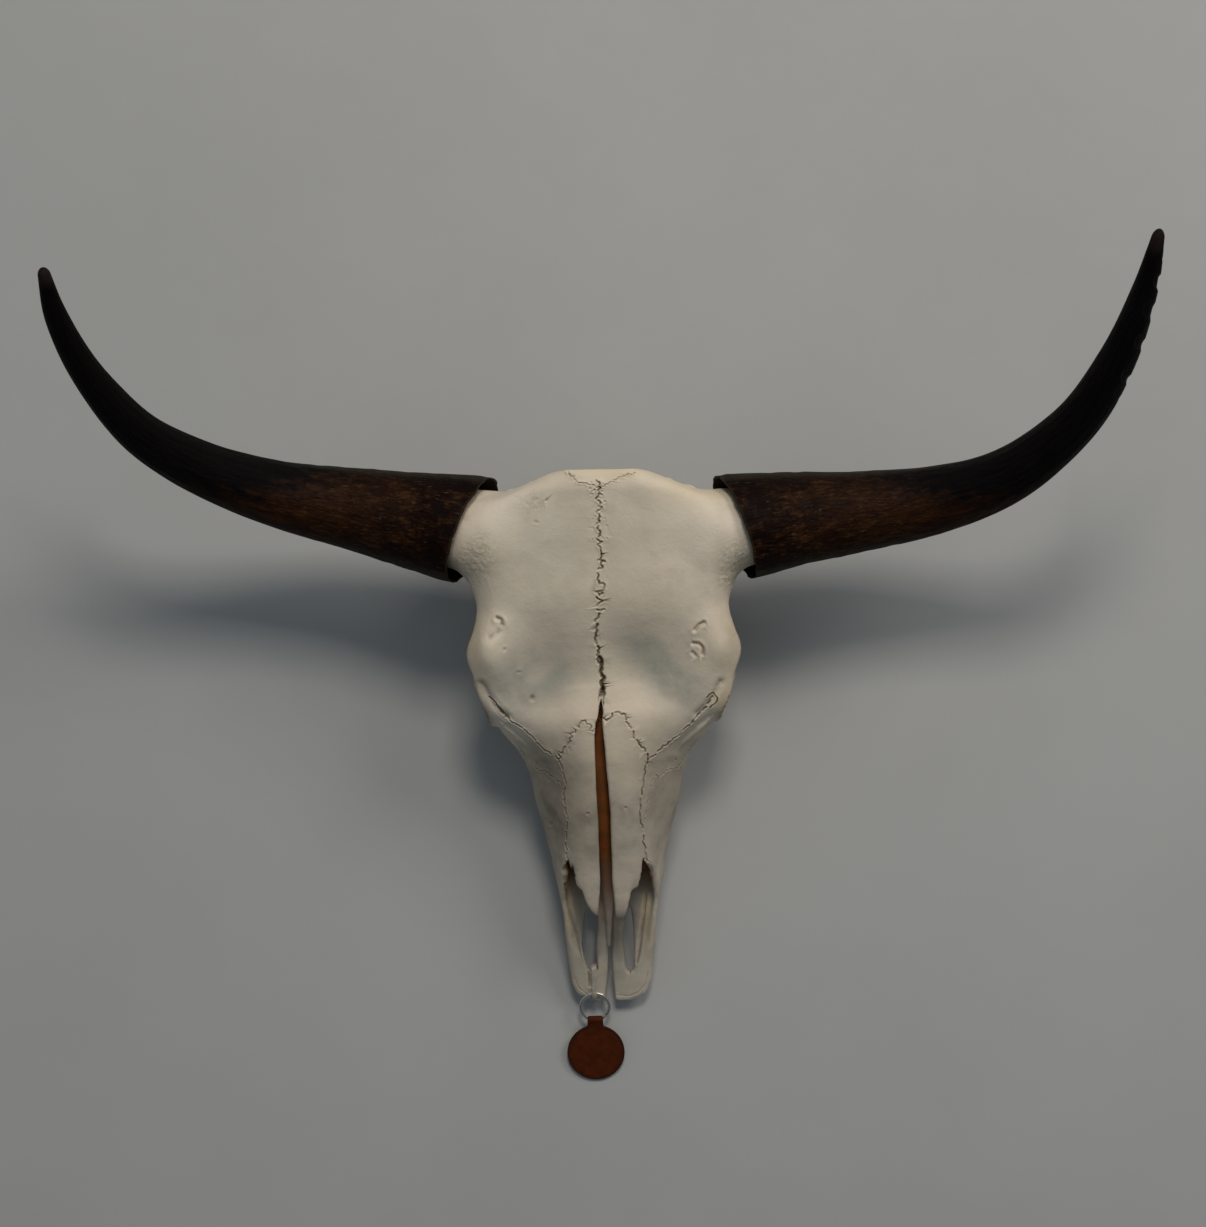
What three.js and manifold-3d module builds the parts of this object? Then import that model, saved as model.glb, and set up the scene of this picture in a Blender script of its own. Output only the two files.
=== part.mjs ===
// A bleached yak skull without its lower jaw, lying on its cheek teeth as it would on a table, with its two
// loose horn sheaths on their bony cores and a leather key fob tied to the tip of its snout.
// Millimetres. +X is towards the right of the face seen from above, +Y from the snout to the poll, +Z up.
// The skull is drawn about its own midline, with y = 0 at the tip of the snout and z = 0 on the table;
// at the end the whole object is moved so that the origin is the middle of its footprint.
import * as THREE from 'three';
import { mergeVertices } from 'three/addons/utils/BufferGeometryUtils.js';
import Module from 'manifold-3d';

const wasm = await Module();
wasm.setup();

// Driving dimensions
const FIT_GAP = 0.35; // clearance between pieces that touch
const PALATE_HEIGHT = 33; // roof of the mouth above the table
const ORBIT = { x: 103, y: 289, z: 117, width: 52, height: 46 }; // the eye socket's rim
const ORBIT_TURN = THREE.MathUtils.degToRad(17); // how far the sockets face forward of straight out
const TOOTH_ROW = { start: 128, length: 127, front: 38, bow: 14 }; // y, then half widths of the two rows
const TOOTH_GAP = 0.8; // between neighbouring teeth
const HORN_WALL = 3.6; // thickness of a horn sheath at its mouth
const RING = { outer: 28.5, section: 2.2, x: -16, tilt: THREE.MathUtils.degToRad(20) };
const TAG = { diameter: 53, thickness: 3.2, strap: 14.5, leather: 1.6, neck: 6.4 };
const TIE = { band: 1.2, width: 4.6, head: [6.4, 7, 4] };

const BONE = new THREE.MeshStandardMaterial({ color: 0xcfc5ae, roughness: 0.75, metalness: 0 });
const HORN = new THREE.MeshStandardMaterial({ color: 0x2e2219, roughness: 0.6, metalness: 0 });
const ENAMEL = new THREE.MeshStandardMaterial({ color: 0xc9b890, roughness: 0.4, metalness: 0 });
const STEEL = new THREE.MeshStandardMaterial({ color: 0xb4b6b8, roughness: 0.25, metalness: 1 });
const LEATHER = new THREE.MeshStandardMaterial({ color: 0x6e3413, roughness: 0.6, metalness: 0 });
const NYLON = new THREE.MeshStandardMaterial({ color: 0xbdb7a8, roughness: 0.5, metalness: 0 });

const v3 = (p) => new THREE.Vector3(...p);

// Mesh tools

// A closed solid from rings of points that all have the same count, with a fan at each end.
function ringsToGeometry(rings) {
  const sides = rings[0].length;
  const points = rings.flat();
  const index = [];
  for (let r = 0; r < rings.length - 1; r++) {
    for (let s = 0; s < sides; s++) {
      const a = r * sides + s;
      const b = r * sides + ((s + 1) % sides);
      index.push(a, b, a + sides, b, b + sides, a + sides);
    }
  }
  for (const r of [0, rings.length - 1]) {
    const centre = new THREE.Vector3();
    rings[r].forEach((p) => centre.addScaledVector(p, 1 / sides));
    points.push(centre);
    for (let s = 0; s < sides; s++) {
      const edge = [r * sides + s, r * sides + ((s + 1) % sides)];
      index.push(...(r === 0 ? edge.reverse() : edge), points.length - 1);
    }
  }
  const geometry = new THREE.BufferGeometry().setFromPoints(points);
  return geometry.setIndex(index);
}

// A solid that can be joined and cut, turned the right way out.
function toSolid(geometry) {
  const bare = geometry.clone();
  bare.deleteAttribute('normal');
  bare.deleteAttribute('uv');
  const merged = mergeVertices(bare, 1e-4);
  const mesh = { numProp: 3, vertProperties: merged.attributes.position.array };
  const make = (triVerts) => new wasm.Manifold(new wasm.Mesh({ ...mesh, triVerts }));
  const triVerts = new Uint32Array(merged.index.array);
  const solid = make(triVerts);
  return solid.volume() > 0 ? solid : make(triVerts.reverse());
}

// Both mirror images of a solid that is drawn on the +X side.
function pair(geometry) {
  const other = geometry.clone().applyMatrix4(new THREE.Matrix4().makeScale(-1, 1, 1));
  return [toSolid(geometry), toSolid(other)];
}

const union = (solids) => solids.reduce((all, one) => all.add(one));

function toMesh(solid, name, material) {
  const { numProp, vertProperties, triVerts } = solid.getMesh();
  const position = new Float32Array((vertProperties.length / numProp) * 3);
  for (let i = 0; i < position.length / 3; i++) {
    position.set(vertProperties.subarray(i * numProp, i * numProp + 3), i * 3);
  }
  const geometry = new THREE.BufferGeometry();
  geometry.setAttribute('position', new THREE.BufferAttribute(position, 3));
  geometry.setIndex(new THREE.BufferAttribute(new Uint32Array(triVerts), 1));
  geometry.computeVertexNormals();
  const mesh = new THREE.Mesh(geometry, material);
  mesh.name = name;
  return mesh;
}

// Shape tools

// A solid through cross-sections that are square to Y. Each section is [y, [[x, z], ...]], the right half of
// its outline from the top of the midline round to the bottom, and a spline rounds it off.
function loft(sections, sides = 26) {
  const rings = sections.map(([y, half]) => {
    const right = half.map(([x, z]) => new THREE.Vector3(x, y, z));
    const left = half.slice(1, -1).reverse().map(([x, z]) => new THREE.Vector3(-x, y, z));
    const outline = new THREE.CatmullRomCurve3([...right, ...left], true, 'centripetal');
    return outline.getSpacedPoints(sides).slice(0, sides);
  });
  return ringsToGeometry(rings);
}

// A tapering bar along a curve. sizes are [half width across `across`, half width the other way] at the
// route's points; `across` is the direction that the first of the two is measured in.
function bar(route, sizes, across = [1, 0, 0], sides = 8, steps = 1) {
  const curve = new THREE.CatmullRomCurve3(route.map(v3), false, 'centripetal');
  const size = new THREE.CatmullRomCurve3(sizes.map(([a, b]) => new THREE.Vector3(a, b, 0)));
  const spans = (route.length - 1) * steps;
  const rings = [];
  for (let k = 0; k <= spans; k++) {
    const centre = curve.getPoint(k / spans);
    const along = curve.getTangent(k / spans);
    const u = v3(across).addScaledVector(along, -along.dot(v3(across))).normalize();
    const w = new THREE.Vector3().crossVectors(along, u);
    const { x: a, y: b } = size.getPoint(k / spans);
    rings.push(Array.from({ length: sides }, (_, s) => {
      const angle = (s / sides) * 2 * Math.PI;
      return centre.clone().addScaledVector(u, a * Math.cos(angle)).addScaledVector(w, b * Math.sin(angle));
    }));
  }
  return ringsToGeometry(rings);
}

function ellipsoid(centre, radii, turn = [0, 0, 0], sides = 12) {
  const geometry = new THREE.SphereGeometry(1, sides, Math.round(sides / 2));
  geometry.scale(...radii);
  geometry.applyMatrix4(new THREE.Matrix4().makeRotationFromEuler(new THREE.Euler(...turn)));
  return geometry.translate(...centre);
}

// A plate drawn in the plane seen from the side, as [y, z] points, and centred on x.
function sidePlate(outline, x, thickness) {
  const shape = new THREE.Shape(outline.map(([y, z]) => new THREE.Vector2(y, z)));
  const geometry = new THREE.ExtrudeGeometry(shape, { depth: thickness, bevelEnabled: false });
  geometry.translate(0, 0, -thickness / 2);
  // Turns the shape's x, y and depth into the object's y, z and x.
  geometry.applyMatrix4(new THREE.Matrix4().makeBasis(v3([0, 1, 0]), v3([0, 0, 1]), v3([1, 0, 0])));
  return geometry.translate(x, 0, 0);
}

// A prism drawn as seen from above, as [x, y] points, between two heights.
function topPrism(outline, low, high) {
  const shape = new THREE.Shape(outline.map(([x, y]) => new THREE.Vector2(x, y)));
  return new THREE.ExtrudeGeometry(shape, { depth: high - low, bevelEnabled: false }).translate(0, 0, low);
}

// The skull

// Snout and cheeks, from the flat lips of the premaxillae back to the lacrimal and cheek bones. It is drawn
// as if it were filled in up to the nasal bones; the cuts below open its front and hollow it.
function muzzle() {
  return loft([
    [-1, [[0, 17], [10, 17], [16, 16.5], [19, 15.5], [16, 14], [8, 13], [0, 13]]],
    [5, [[0, 19], [16, 20], [25, 19.5], [30, 17.5], [28, 14.5], [18, 12], [0, 12]]],
    [14, [[0, 22], [16, 24], [29, 24], [35, 21], [34, 17], [25, 12.5], [0, 12]]],
    [30, [[0, 28], [16, 30], [30, 32], [37.5, 27], [37.5, 21], [30, 16], [0, 18]]],
    [56, [[0, 46], [20, 48], [33, 47], [40, 38], [40.5, 30], [33, 23], [0, 25]]],
    [84, [[0, 95], [18, 94], [31, 87], [38, 72], [42.5, 52], [41, 38], [30, 28], [0, 31]]],
    [110, [[0, 102], [19, 101], [33, 94], [42, 80], [46.5, 60], [46, 42], [34, 27], [0, 31]]],
    [136, [[0, 109], [20, 108], [36, 101], [45, 85], [51, 62], [52, 42], [42, 25], [0, 32]]],
    [162, [[0, 117], [22, 116], [39, 108], [49, 90], [57, 66], [57, 45], [48, 24], [0, PALATE_HEIGHT]]],
    [190, [[0, 126], [25, 125], [42, 117], [56, 97], [65, 71], [62, 46], [50, 24], [0, PALATE_HEIGHT]]],
    [214, [[0, 133], [28, 132], [47, 124], [61, 105], [69, 78], [64, 48], [51, 24], [0, PALATE_HEIGHT + 1]]],
    [236, [
      [0, 141], [34, 140], [57, 132], [71, 114], [77.5, 87], [67, 52], [52, 24], [0, PALATE_HEIGHT + 2],
    ]],
    [256, [[0, 144], [42, 144], [69, 137], [86, 122], [94, 98], [72, 58], [53, 26], [0, PALATE_HEIGHT + 4]]],
    [271, [[0, 145], [46, 145], [72, 139], [90, 126], [101, 102], [70, 74], [50, 36], [0, 42]]],
    [286, [[0, 142], [42, 141], [56, 134], [60, 118], [56, 98], [48, 74], [40, 50], [0, 52]]],
  ]);
}

// The broad plate of the two frontal bones, from the nasal bones to the poll.
function forehead() {
  return loft([
    [232, [[0, 130], [30, 129], [50, 124], [60, 118], [56, 113], [40, 112], [0, 114]]],
    [262, [[0, 146], [46, 146], [78, 141.5], [93, 132.5], [88, 123], [50, 122], [0, 122]]],
    [282, [[0, 147.5], [48, 147], [84, 151], [105, 142], [100, 132], [56, 126], [0, 126]]],
    [302, [[0, 150], [54, 149.5], [92, 161], [114, 148], [108, 137], [60, 130], [0, 130]]],
    [324, [[0, 159], [58, 159.5], [98, 169], [120.5, 151], [112, 139], [64, 136], [0, 136]]],
    [344, [[0, 170], [58, 171], [97, 174], [114, 157], [106, 144], [64, 142], [0, 142]]],
    [364, [[0, 180], [60, 182], [97, 177], [110, 162], [102, 147], [64, 146], [0, 146]]],
    [388, [[0, 187.5], [62, 190], [102, 186], [117, 168], [106, 149], [66, 148], [0, 148]]],
    [410, [[0, 193], [62, 196], [106, 195], [125, 173], [112, 146], [70, 146], [0, 146]]],
    [432, [[0, 200], [60, 204], [104, 203], [124, 174], [112, 144], [70, 142], [0, 142]]],
    [452, [[0, 206], [54, 210], [92, 204], [112, 174], [102, 146], [64, 140], [0, 140]]],
    [468, [[0, 211], [38, 214], [58, 206], [69, 183], [64, 156], [46, 144], [0, 140]]],
    [480, [[0, 209], [26, 211], [37, 202], [43, 183], [40, 164], [28, 154], [0, 152]]],
  ], 26);
}

// The braincase under it, narrow at the temples and wide again at the back of the head.
function braincase() {
  return loft([
    [276, [[0, 128], [40, 126], [47, 114], [44, 96], [34, 72], [22, 58], [0, 56]]],
    [300, [[0, 138], [47, 136], [53, 122], [48, 100], [38, 78], [24, 64], [0, 62]]],
    [330, [[0, 148], [53, 146], [58, 128], [56, 104], [44, 80], [26, 64], [0, 60]]],
    [365, [[0, 166], [60, 162], [66, 138], [64, 106], [50, 80], [28, 60], [0, 55]]],
    [400, [[0, 178], [66, 176], [74, 146], [74, 108], [58, 78], [30, 56], [0, 52]]],
    [430, [[0, 190], [80, 184], [96, 150], [92, 110], [66, 78], [32, 58], [0, 53]]],
    [452, [[0, 200], [78, 186], [98, 150], [96, 114], [72, 82], [36, 62], [0, 58]]],
    [476, [[0, 200], [44, 186], [60, 150], [64, 118], [54, 90], [32, 72], [0, 68]]],
  ], 22);
}

// The place that far outward along the axis of the +X eye socket from the middle of its rim.
const onOrbitAxis = (reach, rise = 0) => [
  ORBIT.x + reach * Math.cos(ORBIT_TURN), ORBIT.y - reach * Math.sin(ORBIT_TURN), ORBIT.z + rise,
];

// On the +X side: the zygomatic arch, and the ring of bone that stands out round the eye socket.
function cheekBars() {
  const { width, height } = ORBIT;
  const arch = bar(
    [
      [54, 212, 68], [68, 238, 80], [84, 259, 88], [95, 281, 90],
      [102, 310, 95], [104, 348, 103], [100, 384, 112], [86, 420, 118],
    ],
    [[6, 7], [9, 13], [9, 14], [7, 10], [5.5, 8.5], [5, 8], [5.5, 8.5], [8, 12]]);
  const rim = bar(
    [onOrbitAxis(-18, 2), onOrbitAxis(-3), onOrbitAxis(4.5, -1)],
    [[height / 2 + 6, width / 2 + 4], [height / 2 + 8, width / 2 + 6], [height / 2 + 5, width / 2 + 4]],
    [0, 0, 1], 14);
  return [arch, rim];
}

// The eye socket: a funnel that narrows inwards and backwards from the rim.
function eyeSocket() {
  const { width, height } = ORBIT;
  return bar(
    [onOrbitAxis(26, 1), onOrbitAxis(0), onOrbitAxis(-26, -1), onOrbitAxis(-57, -4)],
    [[height / 2 + 5, width / 2 + 5], [height / 2, width / 2], [height / 2 - 2, width / 2 - 1], [9, 10]],
    [0, 0, 1], 14);
}

// Underside of the back half, on the +X side: the plate beside the throat opening, the ear capsule with its
// spike, the tusk-like process the skull stands on, and the joint with the neck.
function baseBones() {
  const plate = sidePlate(
    [[248, 32], [266, 38], [300, 45], [330, 40], [344, 42], [350, 60], [348, 84], [250, 84]], 25, 5.5);
  const earCapsule = ellipsoid([42, 408, 54], [11, 19, 17], [0, 0, 0], 10);
  const earSpike = bar(
    [[42, 398, 50], [41, 388, 34], [40, 382, 24]],
    [[7, 8], [4, 5], [1.5, 2]], [1, 0, 0], 6);
  const neckProcess = bar(
    [[68, 444, 112], [64, 448, 84], [62, 449, 58], [60, 446, 28], [57, 441, -2]],
    [[24, 22], [19, 19], [10, 16], [6.5, 10], [4.5, 6]]);
  const condyle = ellipsoid([31, 460, 60], [21, 24, 25], [0.35, 0, 0.25], 14);
  const mastoid = bar([[84, 416, 122], [90, 438, 116], [78, 456, 98]], [[10, 15], [12, 15], [12, 14]]);
  return [plate, earCapsule, earSpike, neckProcess, condyle, mastoid];
}

// The thick keel of bone along the middle of the skull's base.
const floorOfBrain = () => bar(
  [[0, 350, 66], [0, 400, 60], [0, 440, 56], [0, 462, 58]],
  [[16, 12], [19, 10], [24, 10], [26, 10]]);

// The airway, from an open trough behind the lips, through the muzzle, to the throat.
function airway() {
  return loft([
    [24, [[0, 70], [22, 66], [26, 50], [22, 32], [0, 27]]],
    [56, [[0, 90], [28, 86], [35, 64], [33, 38], [0, 30]]],
    [84, [[0, 86], [24, 85], [35, 72], [37, 50], [0, 36]]],
    [136, [[0, 103], [26, 100], [39, 82], [41, 52], [0, 39]]],
    [190, [[0, 118], [30, 114], [44, 92], [44, 56], [0, 41]]],
    [236, [[0, 130], [30, 122], [42, 98], [40, 60], [0, 44]]],
    [268, [[0, 128], [24, 120], [32, 96], [30, 60], [0, 44]]],
    [300, [[0, 100], [14, 92], [20, 74], [20, 50], [0, 36]]],
    [352, [[0, 58], [12, 54], [18, 44], [18, 30], [0, 20]]],
  ], 14);
}

// Scrolls of thin bone inside the airway, seen as a brown mass through the slit.
const conchae = () => [
  ellipsoid([31, 188, 80], [15, 66, 22], [0.28, 0, 0], 12),
  ellipsoid([22, 214, 99], [23, 70, 14], [0.28, 0, 0], 12),
];

// The hollow for the brain, which opens at the back between the condyles.
const brainHollow = () => [
  ellipsoid([0, 385, 122], [50, 66, 40], [0.15, 0, 0], 14),
  bar([[0, 520, 86], [0, 470, 90], [0, 430, 98]], [[21, 19], [19, 17], [24, 20]], [1, 0, 0], 12),
];

// What is cut away round the free front ends of the nasal bones: the slit between them, the notch under
// them, the gap beside each of them, and all that stands above the snout in front of them.
function nasalCuts() {
  const slit = topPrism([
    [-6, 269], [-8.8, 261], [-10.2, 250], [-10.2, 235], [-9.9, 218], [-8.9, 178], [-8.3, 138],
    [-8.6, 108], [-10.8, 88], [-11, 60], [5, 60], [4.9, 85], [3.8, 101], [2.7, 122], [2.3, 138],
    [2.4, 178], [1.2, 200], [-0.2, 218], [-1.2, 235], [-2.1, 250], [-3.1, 259], [-5, 269],
  ], 84, 200);
  const notch = sidePlate([
    [-20, 26], [14, 26], [40, 34], [66, 46], [96, 61], [118, 80], [127, 89], [134, 102],
    [112, 96], [86, 88], [-20, 88],
  ], 0, 140);
  const besideRight = topPrism([
    [30, 139], [29, 122], [25.8, 112], [19.2, 109.5], [16.6, 98], [14.4, 88], [12.6, 83.6], [6, 80],
    [6, 60], [70, 60], [70, 96], [40, 120],
  ], 86, 130);
  const besideLeft = topPrism([
    [-35.6, 139], [-34, 124], [-32.2, 116.5], [-24, 109.5], [-21, 98.5], [-15.7, 89], [-12.9, 87],
    [-11, 84], [-11, 60], [-70, 60], [-70, 96], [-46, 120],
  ], 86, 130);
  const inFront = topPrism([[-90, -30], [90, -30], [90, 83], [-90, 83]], 84, 130);
  return [slit, notch, besideRight, besideLeft, inFront].map(toSolid);
}

// What is cut away behind the head, to leave the crest of the poll over a hollow neck surface.
const behindPoll = () => toSolid(sidePlate([
  [560, 230], [484, 218], [481, 200], [473, 182], [468, 166], [472, 150], [464, 134], [462, 112], [560, 112],
], 0, 300));

// The table, which leaves the tips of the processes beside the neck joint flat.
const belowTable = () => toSolid(new THREE.BoxGeometry(400, 800, 20).translate(0, 300, -10));

// The gap between the two premaxillae, and the two long openings in the front of the palate.
function palateCuts() {
  const gap = [
    [-6.5, -20], [2.8, -20], [2.5, 5], [1.7, 19], [1, 35], [2, 60], [2.2, 74], [1.5, 96],
    [-2.5, 96], [-2.7, 74], [-3, 55], [-3.5, 35], [-4.7, 19], [-5.9, 5],
  ];
  const leftOpening = [
    [-21.5, 86], [-24.1, 71], [-26.4, 58], [-25.9, 45], [-23.6, 35.7], [-20.8, 29.2], [-13.3, 28.9],
    [-13.2, 36], [-13.4, 48], [-12.6, 58], [-11.4, 75.7], [-12.5, 84],
  ];
  const rightOpening = [
    [18.2, 89], [13.5, 75], [10.7, 57.4], [12, 44.5], [14, 29.1], [16.7, 26.6], [20, 28.9],
    [21.6, 41], [21.3, 57], [20.4, 75],
  ];
  return [gap, leftOpening, rightOpening].map((outline) => toSolid(topPrism(outline, 0, 60)));
}

// Teeth

// Length along the jaw and width across it, front to back: three premolars, then three molars.
const CHEEK_TEETH = [
  ['premolar_2', 16, 13], ['premolar_3', 18, 16.5], ['premolar_4', 17.5, 18.5],
  ['molar_1', 22, 20.5], ['molar_2', 26, 21.5], ['molar_3', 27, 20],
];

// A block with rounded corners, standing on the table, with its width scaled at each of its levels.
function toothRings(length, width, grow, levels) {
  const sides = 10;
  return ringsToGeometry(levels.map(([z, scale]) => Array.from({ length: sides }, (_, s) => {
    const angle = (s / sides) * 2 * Math.PI;
    const square = (Math.abs(Math.cos(angle)) ** 3 + Math.abs(Math.sin(angle)) ** 3) ** (-1 / 3);
    const x = Math.cos(angle) * square * (width / 2) * scale;
    const y = Math.sin(angle) * square * (length / 2) * scale;
    return new THREE.Vector3(x + Math.sign(x) * grow, y + Math.sign(y) * grow, z);
  })));
}

const BITE = [0, 0.94]; // height and scale of a tooth where it grinds, where it is widest, and at its root
const NECK = [8, 1];
const ROOT = [46, 0.88];
const toothGeometry = (length, width) => toothRings(length, width, 0, [BITE, NECK, ROOT]);
const SOCKET_TOP = [ROOT[0] + FIT_GAP, ROOT[1]];
const socketGeometry = (length, width) => toothRings(length, width, FIT_GAP, [NECK, SOCKET_TOP]);

function teeth() {
  const made = [];
  let y = TOOTH_ROW.start;
  for (const [name, space, width] of CHEEK_TEETH) {
    const middle = y + space / 2;
    const length = space - TOOTH_GAP;
    const share = (middle - TOOTH_ROW.start) / TOOTH_ROW.length;
    const outward = TOOTH_ROW.front + TOOTH_ROW.bow * Math.sin(share * 0.5 * Math.PI);
    for (const [side, sign] of [['left', -1], ['right', 1]]) {
      const place = new THREE.Matrix4().makeTranslation(sign * outward, middle, 0);
      made.push({
        name: `${name}_${side}`,
        solid: toSolid(toothGeometry(length, width).applyMatrix4(place)),
        socket: toSolid(socketGeometry(length, width).applyMatrix4(place)),
      });
    }
    y += space;
  }
  return made;
}

// Horns

// Middle line of each horn and its radius, from inside the forehead to the tip. The horns differ a little.
const HORNS = {
  left: {
    line: [
      [-76, 426, 165], [-112, 431, 167], [-166, 442.4, 158], [-222, 454.3, 158], [-277, 466.3, 172],
      [-334, 486, 206], [-382, 516, 250], [-416, 560, 296], [-434, 606, 338], [-438, 641, 368],
    ],
    radius: [48.5, 48, 41.8, 35.2, 28.9, 23.5, 18.5, 13.5, 9.5, 4.5],
    mouth: [-112, 431, 167],
    mouthFaces: [0.87, -0.36, 0.22],
  },
  right: {
    line: [
      [80, 425, 165], [114, 428, 167], [172, 435.2, 158], [230, 440.6, 158], [289, 448, 172],
      [347, 466, 206], [396, 504, 250], [426, 555, 296], [441, 606, 340], [447, 650, 376],
    ],
    radius: [46.5, 46.5, 40.5, 34.9, 29.5, 24, 19.5, 15.5, 10.5, 4.5],
    mouth: [116, 428, 167],
    mouthFaces: [-0.88, -0.3, 0.15],
  },
};

// A horn-shaped solid from the inner end of the line as far as `reach`, a share of it, with its radius
// worked out from the horn's own by `thin`.
function hornSolid({ line, radius }, reach, thin, sides, rings) {
  const curve = new THREE.CatmullRomCurve3(line.map(v3), false, 'centripetal');
  const across = new THREE.CatmullRomCurve3(radius.map((r, i) => new THREE.Vector3(r, i, 0)));
  const all = [];
  for (let k = 0; k <= rings; k++) {
    const t = (k / rings) * reach;
    const along = curve.getTangent(t);
    const u = v3([0, 0, 1]).addScaledVector(along, -along.z).normalize();
    const w = new THREE.Vector3().crossVectors(along, u);
    const r = thin(across.getPoint(t).x, t);
    all.push(Array.from({ length: sides }, (_, s) => {
      const angle = (s / sides) * 2 * Math.PI;
      const centre = curve.getPoint(t);
      return centre.addScaledVector(u, r * Math.cos(angle)).addScaledVector(w, r * Math.sin(angle));
    }));
  }
  return toSolid(ringsToGeometry(all));
}

const CORE_REACH = 0.56; // the bony core ends a little over half way along the horn
const HOLLOW_REACH = 0.66;

// The hollow's walls thicken towards the tip, and its end is blunt.
const hollowRadius = (r, t) => (r - HORN_WALL) * (1 - 0.25 * t) * (t > 0.6 ? 0.6 : 1);

// The core swells quickly out of the forehead and then fills most of the hollow.
const coreShare = (t) => 0.62 + 0.22 * THREE.MathUtils.smoothstep(t, 0, 0.07);
const coreRadius = (r, t) => hollowRadius(r, t) * coreShare(t) - FIT_GAP;

const hornCore = (horn) => hornSolid(horn, CORE_REACH, coreRadius, 12, 7);

// Everything on the skull's side of the slanting plane that the sheath's mouth lies in, `back` from it.
function beyondMouth({ mouth, mouthFaces }, back) {
  const reach = 160;
  const block = new THREE.BoxGeometry(reach, reach, reach).translate(0, 0, reach / 2 + back);
  const turn = new THREE.Quaternion().setFromUnitVectors(v3([0, 0, 1]), v3(mouthFaces).normalize());
  return toSolid(block.applyQuaternion(turn).translate(...mouth));
}

function hornSheath(horn) {
  const outer = hornSolid(horn, 1, (r) => r, 16, 16);
  const hollow = hornSolid(horn, HOLLOW_REACH, hollowRadius, 12, 8);
  return outer.subtract(hollow).subtract(beyondMouth(horn, 0));
}

// The room that a sheath takes, with its clearance, which the bone round the core's foot keeps out of.
const sheathRoom = (horn) => hornSolid(horn, 1, (r) => r + FIT_GAP, 16, 16)
  .subtract(beyondMouth(horn, FIT_GAP));

// Key fob

const RING_TOP = new THREE.Vector3(RING.x, 6.2, 22.4); // its wire where the tie holds it
const RING_RADIUS = (RING.outer - RING.section) / 2;
const RING_DIRECTION = new THREE.Vector3(0, -Math.cos(RING.tilt), -Math.sin(RING.tilt));
const EYE = { long: 3, high: 1.75 }; // half sizes of the eye in the strap that the ring passes through
const EYE_CENTRE = RING_TOP.clone().addScaledVector(RING_DIRECTION, 2 * RING_RADIUS - 1);
const TAG_REACH = TAG.diameter / 2 + TAG.neck; // from the middle of the round part to the middle of the eye

function splitRing() {
  const half = RING.section / 2;
  const corner = half * 0.6;
  const section = [
    [-half, 0], [-corner, -half], [corner, -half], [half, 0], [corner, half], [-corner, half], [-half, 0],
  ];
  const ring = new THREE.LatheGeometry(section.map(([x, y]) => new THREE.Vector2(RING_RADIUS + x, y)), 24);
  ring.rotateX(Math.PI / 2 + RING.tilt);
  const centre = RING_TOP.clone().addScaledVector(RING_DIRECTION, RING_RADIUS);
  return toSolid(ring.translate(...centre.toArray()));
}

// Two round layers of one folded strip of leather, with the fold looped round the ring.
function leatherTag() {
  const radius = TAG.diameter / 2;
  const strapTop = TAG_REACH;
  const halfStrap = TAG.strap / 2;
  const neck = Math.sqrt(radius * radius - halfStrap * halfStrap);
  const outline = new THREE.Shape();
  outline.moveTo(-halfStrap, strapTop);
  outline.lineTo(-halfStrap, neck);
  const start = Math.atan2(neck, -halfStrap);
  outline.absarc(0, 0, radius, start, start + 2 * Math.PI - 2 * Math.asin(halfStrap / radius), false);
  outline.lineTo(halfStrap, strapTop);
  const flat = { depth: TAG.thickness, bevelEnabled: false, curveSegments: 22 };
  const body = new THREE.ExtrudeGeometry(outline, flat);
  body.translate(0, 0, -TAG.thickness / 2);
  // The fold: an oblong eye with room for the curve of the ring.
  const oblong = (grow, width) => new THREE.CylinderGeometry(1, 1, width, 20)
    .rotateZ(Math.PI / 2).scale(1, EYE.long + grow, EYE.high + grow).translate(0, strapTop, 0);
  return toSolid(body)
    .add(toSolid(oblong(TAG.leather, TAG.strap)))
    .subtract(toSolid(oblong(0, TAG.strap * 2)));
}

// Places the tag so that its eye holds the bottom of the ring and its far edge lies on the table.
function hangTag() {
  const length = TAG_REACH + TAG.diameter / 2;
  const slope = Math.asin((EYE_CENTRE.z - TAG.thickness / 2) / length);
  const matrix = new THREE.Matrix4().makeRotationX(slope);
  const eyeAt = new THREE.Vector3(0, TAG_REACH, 0).applyMatrix4(matrix);
  return new THREE.Matrix4().makeTranslation(...EYE_CENTRE.clone().sub(eyeAt).toArray()).multiply(matrix);
}

// A nylon tie round the tip of the left premaxilla, through the slot in the palate and over the ring.
function cableTie() {
  const route = [
    [31.4, 31.4], [26, 30.6], [19, 28.4], [11, 26.2], [6.2, 25], [1.8, 21.8], [-2.6, 16],
    [-2, 10.8], [5, 9], [16, 9.4], [26, 11.8], [32.6, 17], [33.6, 25],
  ].map(([y, z]) => new THREE.Vector3(0, y, z));
  const middle = new THREE.CatmullRomCurve3(route, true, 'centripetal');
  const steps = 24;
  const edge = (offset) => middle.getSpacedPoints(steps).slice(0, steps).map((p, i) => {
    const along = middle.getTangentAt(i / steps);
    return [p.y - along.z * offset, p.z + along.y * offset];
  });
  const outer = toSolid(sidePlate(edge(-TIE.band / 2), RING.x, TIE.width));
  const inner = toSolid(sidePlate(edge(TIE.band / 2), RING.x, TIE.width * 2));
  const head = new THREE.BoxGeometry(...TIE.head).translate(RING.x, 14, 6.6);
  return outer.subtract(inner).add(toSolid(head));
}

// Assembly

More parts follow.
